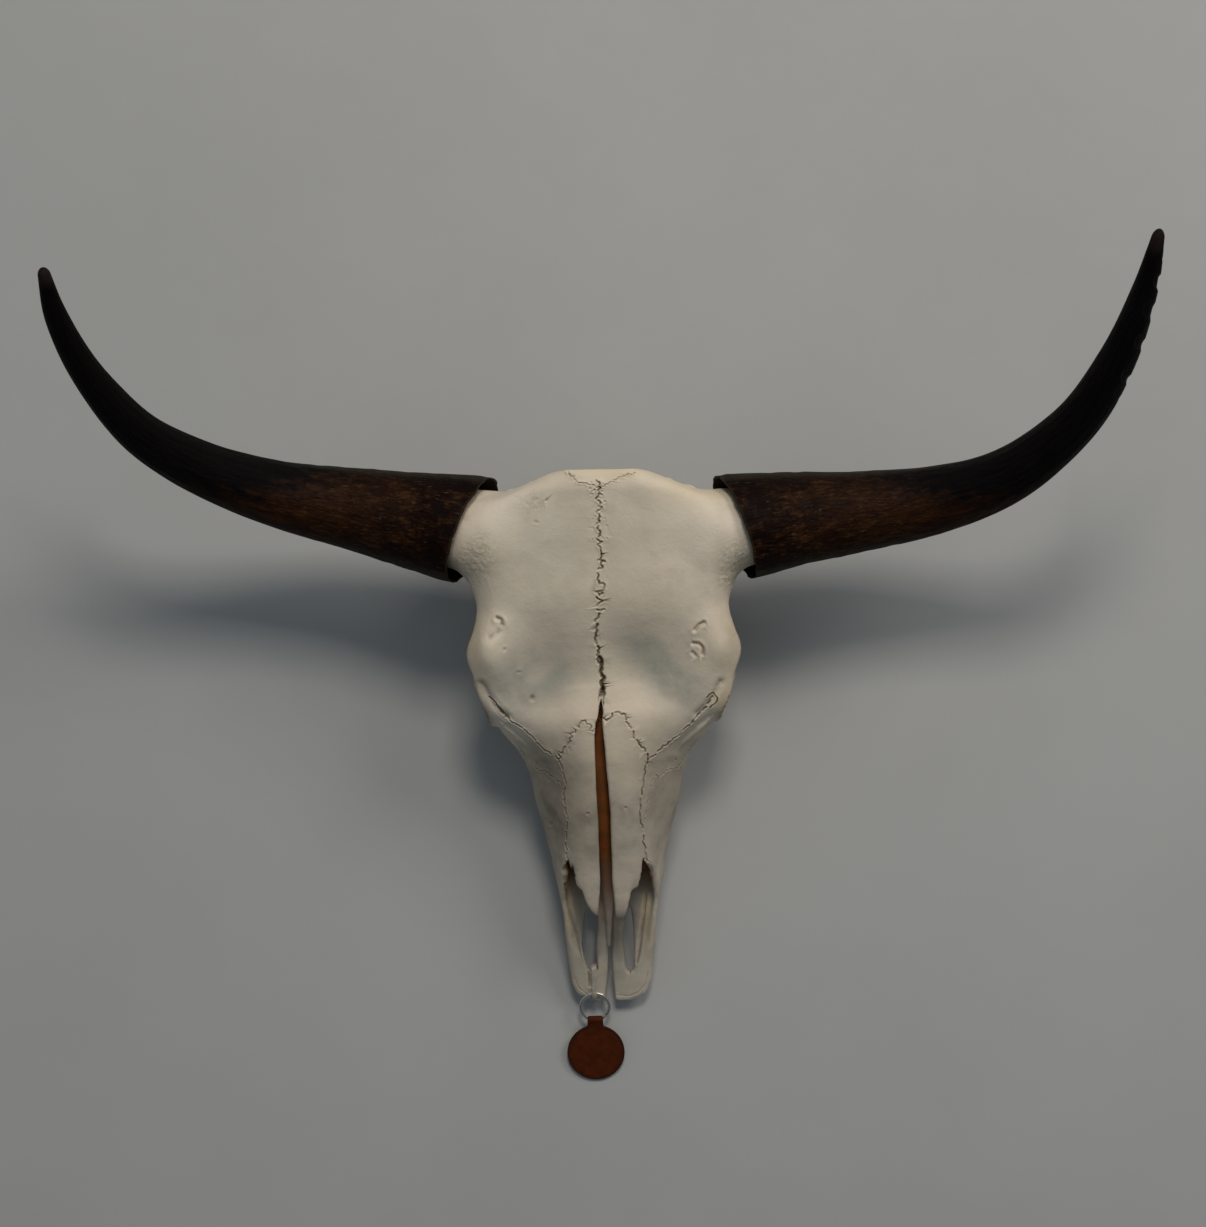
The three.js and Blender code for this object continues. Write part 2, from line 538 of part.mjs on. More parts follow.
// All the bone, with the horn cores, the room that the sheaths need and the tooth sockets.
function skull(sockets) {
  const paired = [...cheekBars(), ...baseBones()].flatMap(pair);
  const outside = union([muzzle(), forehead(), braincase(), floorOfBrain()].map(toSolid)).add(union(paired));
  const hollows = [...pair(eyeSocket()), ...[airway(), ...brainHollow()].map(toSolid)];
  const cuts = [...hollows, ...nasalCuts(), ...palateCuts(), behindPoll(), belowTable()];
  const horns = Object.values(HORNS);
  return outside
    .subtract(union(cuts))
    .add(union(conchae().flatMap(pair)))
    .subtract(union(horns.map(sheathRoom)))
    .add(union(horns.map(hornCore)))
    .subtract(union(sockets));
}

const allTeeth = teeth();
const pieces = new THREE.Group();
pieces.add(toMesh(skull(allTeeth.map((tooth) => tooth.socket)), 'skull', BONE));
for (const [side, horn] of Object.entries(HORNS)) {
  pieces.add(toMesh(hornSheath(horn), `horn_sheath_${side}`, HORN));
}
for (const tooth of allTeeth) {
  pieces.add(toMesh(tooth.solid, tooth.name, ENAMEL));
}
pieces.add(toMesh(cableTie(), 'tie', NYLON));
pieces.add(toMesh(splitRing(), 'split_ring', STEEL));
const tag = toMesh(leatherTag(), 'leather_tag', LEATHER);
tag.applyMatrix4(hangTag());
pieces.add(tag);

const box = new THREE.Box3().setFromObject(pieces, true);
const middle = box.getCenter(new THREE.Vector3());
pieces.position.set(-middle.x, -middle.y, -box.min.z);
const object = new THREE.Group();
object.add(pieces);
export default object;
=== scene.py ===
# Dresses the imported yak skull: finely shaped bone with its sutures, worn horn sheaths, enamel teeth, and the
# leather fob on its split ring and tie, lying on a pale table and seen from straight above.
import itertools
import math

import bpy
import numpy as np
import openvdb
from mathutils import Matrix, Vector


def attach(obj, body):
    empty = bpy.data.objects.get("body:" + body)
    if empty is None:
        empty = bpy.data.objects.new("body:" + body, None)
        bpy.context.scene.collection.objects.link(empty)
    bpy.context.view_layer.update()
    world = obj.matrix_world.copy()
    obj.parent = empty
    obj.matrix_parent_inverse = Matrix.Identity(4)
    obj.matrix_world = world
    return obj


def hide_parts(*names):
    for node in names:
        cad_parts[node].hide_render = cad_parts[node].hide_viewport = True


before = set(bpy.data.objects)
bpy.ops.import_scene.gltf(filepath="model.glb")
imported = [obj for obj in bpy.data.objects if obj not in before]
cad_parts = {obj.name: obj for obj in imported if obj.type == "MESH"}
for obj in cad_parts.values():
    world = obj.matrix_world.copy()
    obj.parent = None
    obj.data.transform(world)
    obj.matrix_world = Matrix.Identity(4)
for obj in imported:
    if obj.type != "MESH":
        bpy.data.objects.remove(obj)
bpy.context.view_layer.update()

# Shapes are worked out in millimetres about the skull's own midline, with y = 0 at the tip of the snout and
# z = 0 on the table. SHIFT takes them to the object's origin.
SHIFT = np.array([-4.1006, -288.3902, 0.0])
FIT_GAP = 0.35  # clearance between pieces that touch


def to_metres(points):
    return (np.asarray(points, float) + SHIFT) / 1000


def placed(name, data):
    """A new object in the scene, made of this mesh, lamp or camera."""
    thing = bpy.data.objects.new(name, data)
    bpy.context.scene.collection.objects.link(thing)
    return thing


# Camera: straight down at the table from 2.5 m, turned a little as the photograph is.
CAMERA_AT = (0.0, 356.6, 2500.0)
CAMERA_ROLL = math.radians(1.35)
CAMERA_LENS = 78.9
CAMERA_SEES = (0.05, 20)  # from and to this many metres


def add_camera():
    data = bpy.data.cameras.new("camera")
    data.lens = CAMERA_LENS
    data.clip_start, data.clip_end = CAMERA_SEES
    camera = placed("camera", data)
    camera.location = to_metres(CAMERA_AT)
    camera.rotation_euler = (0, 0, -CAMERA_ROLL)
    bpy.context.scene.camera = camera


# Curves and noise


def hermite(t):
    """The shares of a span's first point, first slope, last point and last slope, t of the way along it."""
    return 2 * t**3 - 3 * t**2 + 1, t**3 - 2 * t**2 + t, 3 * t**2 - 2 * t**3, t**3 - t**2


def unit(vectors):
    return vectors / np.linalg.norm(vectors, axis=-1, keepdims=True)


def spline(points, per_span, closed=False):
    """Points along a centripetal Catmull-Rom curve, per_span of them from each given point to the next."""
    p = np.asarray(points, float)
    if closed:
        around = np.vstack([p[-1:], p, p[:2]])
    else:
        around = np.vstack([2 * p[:1] - p[1:2], p, 2 * p[-1:] - p[-2:-1]])
    gap = np.maximum(np.linalg.norm(np.diff(around, axis=0), axis=1) ** 0.5, 1e-4)[:, None]
    p0, p1, p2, p3 = around[:-3], around[1:-2], around[2:-1], around[3:]
    g0, g1, g2 = gap[:-2], gap[1:-1], gap[2:]
    m1 = ((p1 - p0) / g0 - (p2 - p0) / (g0 + g1)) * g1 + (p2 - p1)
    m2 = (p2 - p1) - ((p3 - p1) / (g1 + g2) - (p3 - p2) / g2) * g1
    t = (np.arange(per_span) / per_span)[None, :, None]
    spans = sum(share * part[:, None] for share, part in zip(hermite(t), (p1, m1, p2, m2)))
    out = spans.reshape(-1, p.shape[1])
    return out if closed else np.vstack([out, p[-1:]])


def resampled(line, count):
    """The same line as `count` evenly spaced points."""
    steps = np.linalg.norm(np.diff(line, axis=0), axis=1)
    reach = np.concatenate([[0], np.cumsum(steps)])
    at = np.linspace(0, reach[-1], count)
    return np.stack([np.interp(at, reach, line[:, k]) for k in range(line.shape[1])], axis=1)


def smoothstep(low, high, value):
    t = np.clip((value - low) / (high - low), 0, 1)
    return t * t * (3 - 2 * t)


def bump(distance, width):
    """1 at no distance, falling smoothly to nearly nothing at twice the width."""
    return np.exp(-((distance / width) ** 2))


NOISE_PRIMES = (374761393, 668265263, 2147483647)
NOISE_MIX = 1274126177


def noise(points, size, seed=0):
    """Smooth noise from -1 to 1 with features about `size` across, the same on every run."""
    scaled = np.asarray(points) / size
    cell = np.floor(scaled).astype(np.int64)
    part = scaled - cell
    part = part * part * (3 - 2 * part)
    total = np.zeros(len(scaled))
    for corner in itertools.product((0, 1), repeat=scaled.shape[1]):
        key = np.full(len(scaled), seed * NOISE_MIX, np.int64)
        for axis, prime in zip(range(scaled.shape[1]), NOISE_PRIMES):
            key = key + (cell[:, axis] + corner[axis]) * prime
        key = (key ^ (key >> 13)) * NOISE_MIX
        value = ((key ^ (key >> 16)) & 0xFFFF) / 0xFFFF
        total += np.prod(np.where(corner, part, 1 - part), axis=1) * value
    return 2 * total - 1


# The bone's distance field: millimetres to its surface, negative inside, on a grid of samples.
STEP = 1.7
REACH = 16.0  # distances hold only this near a surface
GRID = dict(side=150, front=-9, back=496, bottom=-8, top=228)
half_xs = np.arange(0, GRID["side"], STEP)
xs = np.concatenate([-half_xs[:0:-1], half_xs])
ys = np.arange(GRID["front"], GRID["back"], STEP)
zs = np.arange(GRID["bottom"], GRID["top"], STEP)
SECTION_STEPS = 8  # of the curve from each given point of a cross-section to the next
SECTION_POINTS = 42  # round half a cross-section, evenly spaced


def near(axis, low, high):
    """The part of a grid axis from low to high, with a margin."""
    first, last = np.searchsorted(axis, (low - REACH, high + REACH))
    return slice(int(first), int(last))


def outline_distance(a_at, b_at, line):
    """Signed distance in a plane from each (a, b) to a line whose ends meet or lie on a = 0."""
    start, end = line[:-1].astype(np.float32), line[1:].astype(np.float32)
    edge = end - start
    edge[np.abs(edge) < 1e-5] = 1e-5
    a_from = a_at[..., None].astype(np.float32) - start[:, 0]
    b_from = b_at[..., None].astype(np.float32) - start[:, 1]
    t = np.clip((a_from * edge[:, 0] + b_from * edge[:, 1]) / (edge**2).sum(1), 0, 1)
    gap = np.sqrt(((a_from - t * edge[:, 0]) ** 2 + (b_from - t * edge[:, 1]) ** 2).min(-1))
    straddles = (start[:, 1] > b_at[..., None]) != (end[:, 1] > b_at[..., None])
    crosses = straddles & (a_from < b_from * edge[:, 0] / edge[:, 1])
    return np.where(crosses.sum(-1) % 2, -gap, gap)


def closed_line(outline, per_span):
    line = spline(outline, per_span, closed=True)
    return np.vstack([line, line[:1]])


def empty_field(axis_x):
    return np.full((len(axis_x), len(ys), len(zs)), REACH, np.float32)


def loft(sections):
    """A solid through cross-sections that are square to y, on the right half of the grid. Each is
    [y, [[x, z], ...]], the right half of its outline from the top of the midline round to the bottom."""
    field = empty_field(half_xs)
    stations = np.array([y for y, _ in sections], float)
    lines = []
    for _, half in sections:
        half = np.array(half, float)
        whole = np.vstack([half, half[-2:0:-1] * (-1, 1)])
        curve = spline(whole, SECTION_STEPS, closed=True)
        lines.append(resampled(curve[: (len(half) - 1) * SECTION_STEPS + 1], SECTION_POINTS))
    lines = np.array(lines)
    slopes = np.gradient(lines, stations, axis=0)
    for j in range(len(ys))[near(ys, stations[0], stations[-1])]:
        y = np.clip(ys[j], stations[0], stations[-1])
        i = int(np.clip(np.searchsorted(stations, y) - 1, 0, len(stations) - 2))
        width = stations[i + 1] - stations[i]
        first, leaving, last, arriving = hermite((y - stations[i]) / width)
        line = (
            first * lines[i] + leaving * width * slopes[i]
            + last * lines[i + 1] + arriving * width * slopes[i + 1])
        ix = near(half_xs, 0, line[:, 0].max())
        iz = near(zs, line[:, 1].min(), line[:, 1].max())
        x, z = np.meshgrid(half_xs[ix], zs[iz], indexing="ij")
        beyond = max(stations[0] - ys[j], ys[j] - stations[-1])
        field[ix, j, iz] = np.maximum(outline_distance(x, z, line), beyond)
    return field


def box_of_samples(axis_x, low, high):
    """Slices of the grid round a box, and where its samples are."""
    cut = tuple(near(axis, low[k], high[k]) for k, axis in enumerate((axis_x, ys, zs)))
    at = np.meshgrid(axis_x[cut[0]], ys[cut[1]], zs[cut[2]], indexing="ij")
    return cut, np.stack(at, axis=-1)


def ellipsoid_distance(local, radii):
    """Roughly the distance to an ellipsoid, from places along its axes."""
    k0 = np.sqrt(((local / radii) ** 2).sum(-1))
    k1 = np.sqrt(((local / radii**2) ** 2).sum(-1))
    return k0 * (k0 - 1) / np.maximum(k1, 1e-6)


def bar(axis_x, route, sizes, across=(1, 0, 0), per_span=7):
    """A tapering bar along a curve. sizes are [half width across `across`, half width the other way]."""
    field = empty_field(axis_x)
    centres = spline(route, per_span)
    radii = spline(sizes, per_span)
    across = np.array(across, float)
    for k in range(len(centres) - 1):
        edge = centres[k + 1] - centres[k]
        along = edge / np.linalg.norm(edge)
        u = across - across.dot(along) * along
        u /= np.linalg.norm(u)
        axes = np.stack([u, np.cross(along, u), along])
        widest = radii[k : k + 2].max()
        ends = centres[k : k + 2]
        cut, at = box_of_samples(axis_x, ends.min(0) - widest, ends.max(0) + widest)
        if 0 in at.shape:
            continue
        t = np.clip((at - centres[k]) @ edge / edge.dot(edge), 0, 1)[..., None]
        local = (at - centres[k] - t * edge) @ axes.T
        size = radii[k] + t * (radii[k + 1] - radii[k])
        size = np.concatenate([size, size.min(-1, keepdims=True)], axis=-1)
        field[cut] = np.minimum(field[cut], ellipsoid_distance(local, size))
    return field


def ellipsoid(axis_x, centre, radii, turn=(0, 0, 0)):
    field = empty_field(axis_x)
    centre, radii = np.array(centre, float), np.array(radii, float)
    cut, at = box_of_samples(axis_x, centre - radii.max(), centre + radii.max())
    about_x, about_y, about_z = (Matrix.Rotation(angle, 3, axis) for angle, axis in zip(turn, "XYZ"))
    turned = np.array(about_x @ about_y @ about_z)
    field[cut] = ellipsoid_distance((at - centre) @ turned, radii)
    return field


def side_plate(axis_x, outline, x, thickness, per_span=4):
    """A plate seen from the side as [y, z] points, centred on x."""
    y, z = np.meshgrid(ys, zs, indexing="ij")
    flat = outline_distance(y, z, closed_line(outline, per_span))[None]
    return np.maximum(flat, np.abs(axis_x - x)[:, None, None] - thickness / 2).astype(np.float32)


def prism(axis_x, outline, low, high, per_span=1):
    """A prism seen from above as [x, y] points, between two heights."""
    x, y = np.meshgrid(axis_x, ys, indexing="ij")
    flat = outline_distance(x, y, closed_line(outline, per_span))[:, :, None]
    return np.maximum(flat, np.maximum(low - zs, zs - high)).astype(np.float32)


def join(a, b, soft):
    """Union with a fillet about this wide."""
    blend = np.maximum(soft - np.abs(a - b), 0) / soft
    return np.minimum(a, b) - blend**2 * soft / 4


def cut_away(a, b, soft=1.0):
    """a without b, with the edges rounded by about this much."""
    return -join(-a, b, soft)


def both_sides(half):
    return np.concatenate([half[:0:-1], half])


def sampled(field, points):
    """The field's values at any points, read between its samples."""
    start = np.array([xs[0], ys[0], zs[0]])
    at = (points - start) / STEP
    cell = np.clip(np.floor(at).astype(int), 0, np.array(field.shape) - 2)
    part = at - cell
    total = np.zeros(len(points))
    for corner in itertools.product((0, 1), repeat=3):
        i, j, k = (cell + corner).T
        total += np.prod(np.where(corner, part, 1 - part), axis=1) * field[i, j, k]
    return total


# The skull

PALATE = 33  # height of the roof of the mouth above the table
CLEAR_OF_TABLE = 0.05
ORBIT = dict(x=103, y=289, z=117, width=52, height=46)
ORBIT_TURN = math.radians(17)  # how far the eye sockets face forward of straight out

# Snout and cheeks, from the flat lips of the premaxillae back to the lacrimal and cheek bones.
MUZZLE = [
    [-1, [[0, 17], [10, 17], [16, 16.5], [19, 15.5], [16, 14], [8, 13], [0, 13]]],
    [5, [[0, 19], [16, 20], [25, 19.5], [30, 17.5], [28, 14.5], [18, 12], [0, 12]]],
    [14, [[0, 22], [16, 24], [29, 24], [35, 21], [34, 17], [25, 12.5], [0, 12]]],
    [30, [[0, 28], [16, 30], [30, 32], [37.5, 27], [37.5, 21], [30, 16], [0, 18]]],
    [56, [[0, 46], [20, 48], [33, 47], [40, 38], [40.5, 30], [33, 23], [0, 25]]],
    [84, [[0, 95], [18, 94], [31, 87], [38, 72], [42.5, 52], [41, 38], [30, 28], [0, 31]]],
    [110, [[0, 102], [19, 101], [33, 94], [42, 80], [46.5, 60], [46, 42], [34, 27], [0, 31]]],
    [136, [[0, 109], [20, 108], [36, 101], [45, 85], [51, 62], [52, 42], [42, 25], [0, 32]]],
    [162, [[0, 117], [22, 116], [39, 108], [49, 90], [57, 66], [57, 45], [48, 24], [0, PALATE]]],
    [190, [[0, 126], [25, 125], [42, 117], [56, 97], [65, 71], [62, 46], [50, 24], [0, PALATE]]],
    [214, [[0, 133], [28, 132], [47, 124], [61, 105], [69, 78], [64, 48], [51, 24], [0, PALATE + 1]]],
    [236, [[0, 141], [34, 140], [57, 132], [71, 114], [77.5, 87], [67, 52], [52, 24], [0, PALATE + 2]]],
    [256, [[0, 144], [42, 144], [69, 137], [86, 122], [94, 98], [72, 58], [53, 26], [0, PALATE + 4]]],
    [271, [[0, 145], [46, 145], [72, 139], [90, 126], [101, 102], [70, 74], [50, 36], [0, 42]]],
    [286, [[0, 142], [42, 141], [56, 134], [60, 118], [56, 98], [48, 74], [40, 50], [0, 52]]],
]

# The broad plate of the two frontal bones, from the nasal bones to the poll.
FOREHEAD = [
    [232, [[0, 130], [30, 129], [50, 124], [60, 118], [56, 113], [40, 112], [0, 114]]],
    [262, [[0, 146], [46, 146], [78, 141.5], [93, 132.5], [88, 123], [50, 122], [0, 122]]],
    [282, [[0, 147.5], [48, 147], [84, 151], [105, 142], [100, 132], [56, 126], [0, 126]]],
    [302, [[0, 150], [54, 149.5], [92, 161], [114, 148], [108, 137], [60, 130], [0, 130]]],
    [324, [[0, 159], [58, 159.5], [98, 169], [120.5, 151], [112, 139], [64, 136], [0, 136]]],
    [344, [[0, 170], [58, 171], [97, 174], [114, 157], [106, 144], [64, 142], [0, 142]]],
    [364, [[0, 180], [60, 182], [97, 177], [110, 162], [102, 147], [64, 146], [0, 146]]],
    [388, [[0, 187.5], [62, 190], [102, 186], [117, 168], [106, 149], [66, 148], [0, 148]]],
    [410, [[0, 193], [62, 196], [106, 195], [125, 173], [112, 146], [70, 146], [0, 146]]],
    [432, [[0, 200], [60, 204], [104, 203], [124, 174], [112, 144], [70, 142], [0, 142]]],
    [452, [[0, 206], [54, 210], [92, 204], [112, 174], [102, 146], [64, 140], [0, 140]]],
    [468, [[0, 211], [38, 214], [58, 206], [69, 183], [64, 156], [46, 144], [0, 140]]],
    [480, [[0, 209], [26, 211], [37, 202], [43, 183], [40, 164], [28, 154], [0, 152]]],
]

# The braincase under it, narrow at the temples and wide again at the back of the head.
BRAINCASE = [
    [276, [[0, 128], [40, 126], [47, 114], [44, 96], [34, 72], [22, 58], [0, 56]]],
    [300, [[0, 138], [47, 136], [53, 122], [48, 100], [38, 78], [24, 64], [0, 62]]],
    [330, [[0, 148], [53, 146], [58, 128], [56, 104], [44, 80], [26, 64], [0, 60]]],
    [365, [[0, 166], [60, 162], [66, 138], [64, 106], [50, 80], [28, 60], [0, 55]]],
    [400, [[0, 178], [66, 176], [74, 146], [74, 108], [58, 78], [30, 56], [0, 52]]],
    [430, [[0, 190], [80, 184], [96, 150], [92, 110], [66, 78], [32, 58], [0, 53]]],
    [452, [[0, 200], [78, 186], [98, 150], [96, 114], [72, 82], [36, 62], [0, 58]]],
    [476, [[0, 200], [44, 186], [60, 150], [64, 118], [54, 90], [32, 72], [0, 68]]],
]

# The airway, from an open trough behind the lips, through the muzzle, to the throat.
AIRWAY = [
    [24, [[0, 70], [22, 66], [26, 50], [22, 32], [0, 27]]],
    [56, [[0, 90], [28, 86], [35, 64], [33, 38], [0, 30]]],
    [84, [[0, 86], [24, 85], [35, 72], [37, 50], [0, 36]]],
    [136, [[0, 103], [26, 100], [39, 82], [41, 52], [0, 39]]],
    [190, [[0, 118], [30, 114], [44, 92], [44, 56], [0, 41]]],
    [236, [[0, 130], [30, 122], [42, 98], [40, 60], [0, 44]]],
    [268, [[0, 128], [24, 120], [32, 96], [30, 60], [0, 44]]],
    [300, [[0, 100], [14, 92], [20, 74], [20, 50], [0, 36]]],
    [352, [[0, 58], [12, 54], [18, 44], [18, 30], [0, 20]]],
]


def on_orbit_axis(reach, rise=0.0):
    """The place that far outward along the axis of the eye socket from the middle of its rim."""
    out, forward = reach * math.cos(ORBIT_TURN), reach * math.sin(ORBIT_TURN)
    return [ORBIT["x"] + out, ORBIT["y"] - forward, ORBIT["z"] + rise]


def cheek(field):
    """Adds the arch under the eye and the ring of bone round the eye socket, then opens the socket."""
    high, wide = ORBIT["height"] / 2, ORBIT["width"] / 2
    arch = bar(
        half_xs,
        [[54, 212, 68], [68, 238, 80], [84, 259, 88], [95, 281, 90],
         [102, 310, 95], [104, 348, 103], [100, 384, 112], [86, 420, 118]],
        [[6, 7], [9, 13], [9, 14], [7, 10], [5.5, 8.5], [5, 8], [5.5, 8.5], [8, 12]])
    rim = bar(
        half_xs, [on_orbit_axis(-18, 2), on_orbit_axis(-7), on_orbit_axis(-1, -1)],
        [[high + 6, wide + 4], [high + 8, wide + 6], [high + 5, wide + 4]], (0, 0, 1))
    socket = bar(
        half_xs, [on_orbit_axis(26, 1), on_orbit_axis(0), on_orbit_axis(-26, -1), on_orbit_axis(-57, -4)],
        [[high + 5, wide + 5], [high, wide], [high - 2, wide - 1], [9, 10]], (0, 0, 1))
    field = join(join(field, rim, 7), arch, 7)
    return cut_away(field, socket, 3.5)


def base_bones(field):
    """Adds, on the underside of the back half, the plate beside the throat, the ear capsule with its spike,
    the tusk-like process that the skull stands on, the joint with the neck and the bone behind the ear."""
    plate_outline = [
        [248, 32], [266, 38], [300, 45], [330, 40], [344, 42], [350, 60], [348, 84], [300, 92], [250, 84]]
    parts = [
        (side_plate(half_xs, plate_outline, 25, 5.5), 6),
        (ellipsoid(half_xs, (42, 408, 54), (11, 19, 17)), 4),
        (bar(half_xs, [[42, 398, 50], [41, 388, 34], [40, 382, 24]], [[7, 8], [4, 5], [1.5, 2]]), 5),
        (bar(half_xs,
             [[68, 444, 112], [64, 448, 84], [62, 449, 58], [60, 446, 28], [57, 441, -2]],
             [[24, 22], [19, 19], [10, 16], [6.5, 10], [4.5, 6]]), 9),
        (ellipsoid(half_xs, (31, 460, 60), (21, 24, 25), (0.35, 0, 0.25)), 4),
        (bar(half_xs, [[84, 416, 122], [90, 438, 116], [78, 456, 98]], [[10, 15], [12, 15], [12, 14]]), 9),
        (bar(half_xs, [[0, 350, 66], [0, 400, 60], [0, 440, 56], [0, 462, 58]],
             [[16, 12], [19, 10], [24, 10], [26, 10]]), 8),
    ]
    for part, soft in parts:
        field = join(field, part, soft)
    return field


def mirrored_half():
    """Everything that is alike on both sides, and the airway, whose walls get a painted orange-brown glow."""
    field = join(loft(MUZZLE), loft(FOREHEAD), 10)
    field = join(field, loft(BRAINCASE), 9)
    field = cheek(base_bones(field))
    airway = loft(AIRWAY)
    brain = ellipsoid(half_xs, (0, 385, 122), (50, 66, 40), (0.15, 0, 0))
    neck_hole = bar(half_xs, [[0, 520, 86], [0, 470, 90], [0, 430, 98]], [[21, 19], [19, 17], [24, 20]])
    holes = [(hole, 2) for hole in small_holes()]
    cuts = [(airway, 1.5), (brain, 2), (neck_hole, 5), *holes, (behind_nape(), 6)]
    for cut, soft in cuts:
        field = cut_away(field, cut, soft)
    return np.maximum(field, CLEAR_OF_TABLE - zs[None, None, :]), airway


# The back of the head on its midline, from the poll down, as [height, y].
NAPE = [
    [112, 462], [128, 463], [142, 467], [153, 471], [166, 469], [182, 473], [200, 481], [212, 484],
    [230, 482]]


def behind_nape():
    """What lies behind the back of the head, which is ridged in its middle and curves forward beside it."""
    nape = spline(NAPE, 8)
    middle = np.interp(zs, nape[:, 0], nape[:, 1])
    x = half_xs[:, None, None]
    hollow = 2.6 * bump(x - 22, 13) * smoothstep(206, 180, zs)
    back = middle - 0.0013 * x**2 * smoothstep(212, 184, zs) - hollow
    behind = 0.85 * (back - ys[None, :, None])  # eased, because the surface leans
    return np.maximum(behind, NAPE[0][0] - zs[None, None, :]).astype(np.float32)


def small_holes():
    """Openings for nerves and vessels: before the cheek teeth, in the temple and in the skull's base."""
    places = [
        ((50, 139, 52), (9, 6, 4.5), (0.5, 0, -0.5)),
        ((58, 352, 96), (8, 5, 4), (0, 0, 0.3)),
        ((22, 372, 62), (6, 7, 9), (0, 0, 0)),
        ((40, 430, 58), (5, 7, 9), (0, 0, 0.4)),
        ((14, 470, 66), (4, 9, 4), (0, 0, 0.3)),
        ((92, 400, 104), (12, 7, 6), (0, 0, 0)),
        ((17, 247, 34), (3.5, 6, 9), (0.4, 0, 0)),
    ]
    return [ellipsoid(half_xs, *place) for place in places]


def scrolls():
    """Thin scrolls of bone inside the airway and the plate between them, a mass under the slit, which the
    airway's painted orange-brown glow colours.
    """
    low = ellipsoid(half_xs, (31, 188, 80), (15, 66, 22), (0.28, 0, 0))
    high = ellipsoid(half_xs, (22, 214, 99), (23, 70, 14), (0.28, 0, 0))
    plate = bar(
        xs,
        [[-5, 272, 116], [-5, 236, 109], [-4, 190, 97], [-3, 150, 83], [-2, 118, 67], [-1.5, 86, 52],
         [-2, 52, 40]],
        [[9, 11], [10, 11], [9, 11], [8, 11], [6, 9], [4, 6.5], [1.5, 2.5]])
    return join(both_sides(join(low, high, 2)), plate, 3)


def front_cuts(field):
    """Cuts the slit between the nasal bones, their free tips, the notch under them, the gap between the
    premaxillae and the two long openings in the front of the palate."""
    slit = prism(xs, [
        [-3.8, 284], [-4.7, 280], [-5.6, 272], [-6.4, 267], [-8.8, 261], [-10.2, 250], [-10.2, 235],
        [-9.9, 218], [-8.9, 178], [-8.3, 138], [-8.6, 108], [-10.8, 88], [-11, 60], [5, 60], [4.9, 85],
        [3.8, 101], [2.7, 122], [2.3, 138], [2.4, 178], [1.2, 200], [-0.2, 218], [-1.2, 235],
        [-2.1, 250], [-3, 262], [-2.2, 270], [-2.8, 280]], 84, 200)
    notch = side_plate(xs, [
        [-20, 26], [14, 26], [40, 34], [66, 46], [96, 61], [118, 80], [127, 89], [134, 102],
        [112, 96], [86, 88], [-20, 88]], 0, 140, per_span=1)
    right = prism(xs, [
        [30, 139], [29, 122], [25.8, 112], [19.2, 109.5], [16.6, 98], [14.4, 88], [12.6, 83.6], [6, 80],
        [6, 60], [70, 60], [70, 96], [40, 120]], 86, 130)
    left = prism(xs, [
        [-35.6, 139], [-34, 124], [-32.2, 116.5], [-24, 109.5], [-21, 98.5], [-15.7, 89], [-12.9, 87],
        [-11, 84], [-11, 60], [-70, 60], [-70, 96], [-46, 120]], 86, 130)
    in_front = prism(xs, [[-90, -30], [90, -30], [90, 83], [-90, 83]], 84, 130)
    for cut in (slit, notch, right, left, in_front):
        field = cut_away(field, cut, 1.6)
    gap = [
        [-6.5, -20], [2.8, -20], [2.5, 5], [1.7, 19], [1, 35], [2, 60], [2.2, 74], [1.5, 96],
        [-1.5, 96], [-1.7, 74], [-2.2, 55], [-2.8, 35], [-4.2, 19], [-5.9, 5]]
    left_opening = [
        [-21.5, 86], [-24.1, 71], [-26.4, 58], [-25.9, 45], [-23.6, 35.7], [-20.8, 29.2], [-13.3, 28.9],
        [-13.2, 36], [-13.4, 48], [-12.6, 58], [-11.4, 75.7], [-12.5, 84]]
    right_opening = [
        [18.2, 89], [13.5, 75], [10.7, 57.4], [12, 44.5], [14, 29.1], [16.7, 26.6], [20, 28.9],
        [21.6, 41], [21.3, 57], [20.4, 75]]
    for outline, soft in ((gap, 2), (left_opening, 3), (right_opening, 3)):
        field = cut_away(field, prism(xs, outline, -20, 64, per_span=3), soft)
    return field


# Horns: middle line and radius from inside the forehead to the tip, and the slanting plane of the mouth.
HORNS = {
    "left": dict(
        line=[
            [-76, 426, 165], [-112, 431, 167], [-166, 442.4, 158], [-222, 454.3, 158], [-277, 466.3, 172],
            [-334, 486, 206], [-382, 516, 250], [-416, 560, 296], [-434, 606, 338], [-438, 641, 368]],
        radius=[48.5, 48, 41.8, 35.2, 28.9, 23.5, 18.5, 13.5, 9.5, 4.5],
        mouth=(-112, 431, 167),
        mouth_faces=(0.87, -0.36, 0.22),
    ),
    "right": dict(
        line=[
            [80, 425, 165], [114, 428, 167], [172, 435.2, 158], [230, 440.6, 158], [289, 448, 172],
            [347, 466, 206], [396, 504, 250], [426, 555, 296], [441, 606, 340], [447, 650, 376]],
        radius=[46.5, 46.5, 40.5, 34.9, 29.5, 24, 19.5, 15.5, 10.5, 4.5],
        mouth=(116, 428, 167),
        mouth_faces=(-0.88, -0.3, 0.15),
    ),
}
HORN_WALL = 3.6
CORE_REACH = 0.56  # the bony core ends a little over half way along the horn
HOLLOW_REACH = 0.66
PER_SPAN = 40
ROOT_REACH = 0.3  # share of the line over which the core is shaped together with the skull
FAR_CORE_FROM = 128  # how far out the rest of it starts, still inside the first part


def horn_path(horn):
    """Closely spaced middle points of a horn, its radius there, and the share of the line each is at."""
    centres = spline(horn["line"], PER_SPAN)
    numbered = [[r, i] for i, r in enumerate(horn["radius"])]
    radii = spline(numbered, PER_SPAN)[:, 0]
    return centres, radii, np.linspace(0, 1, len(centres))


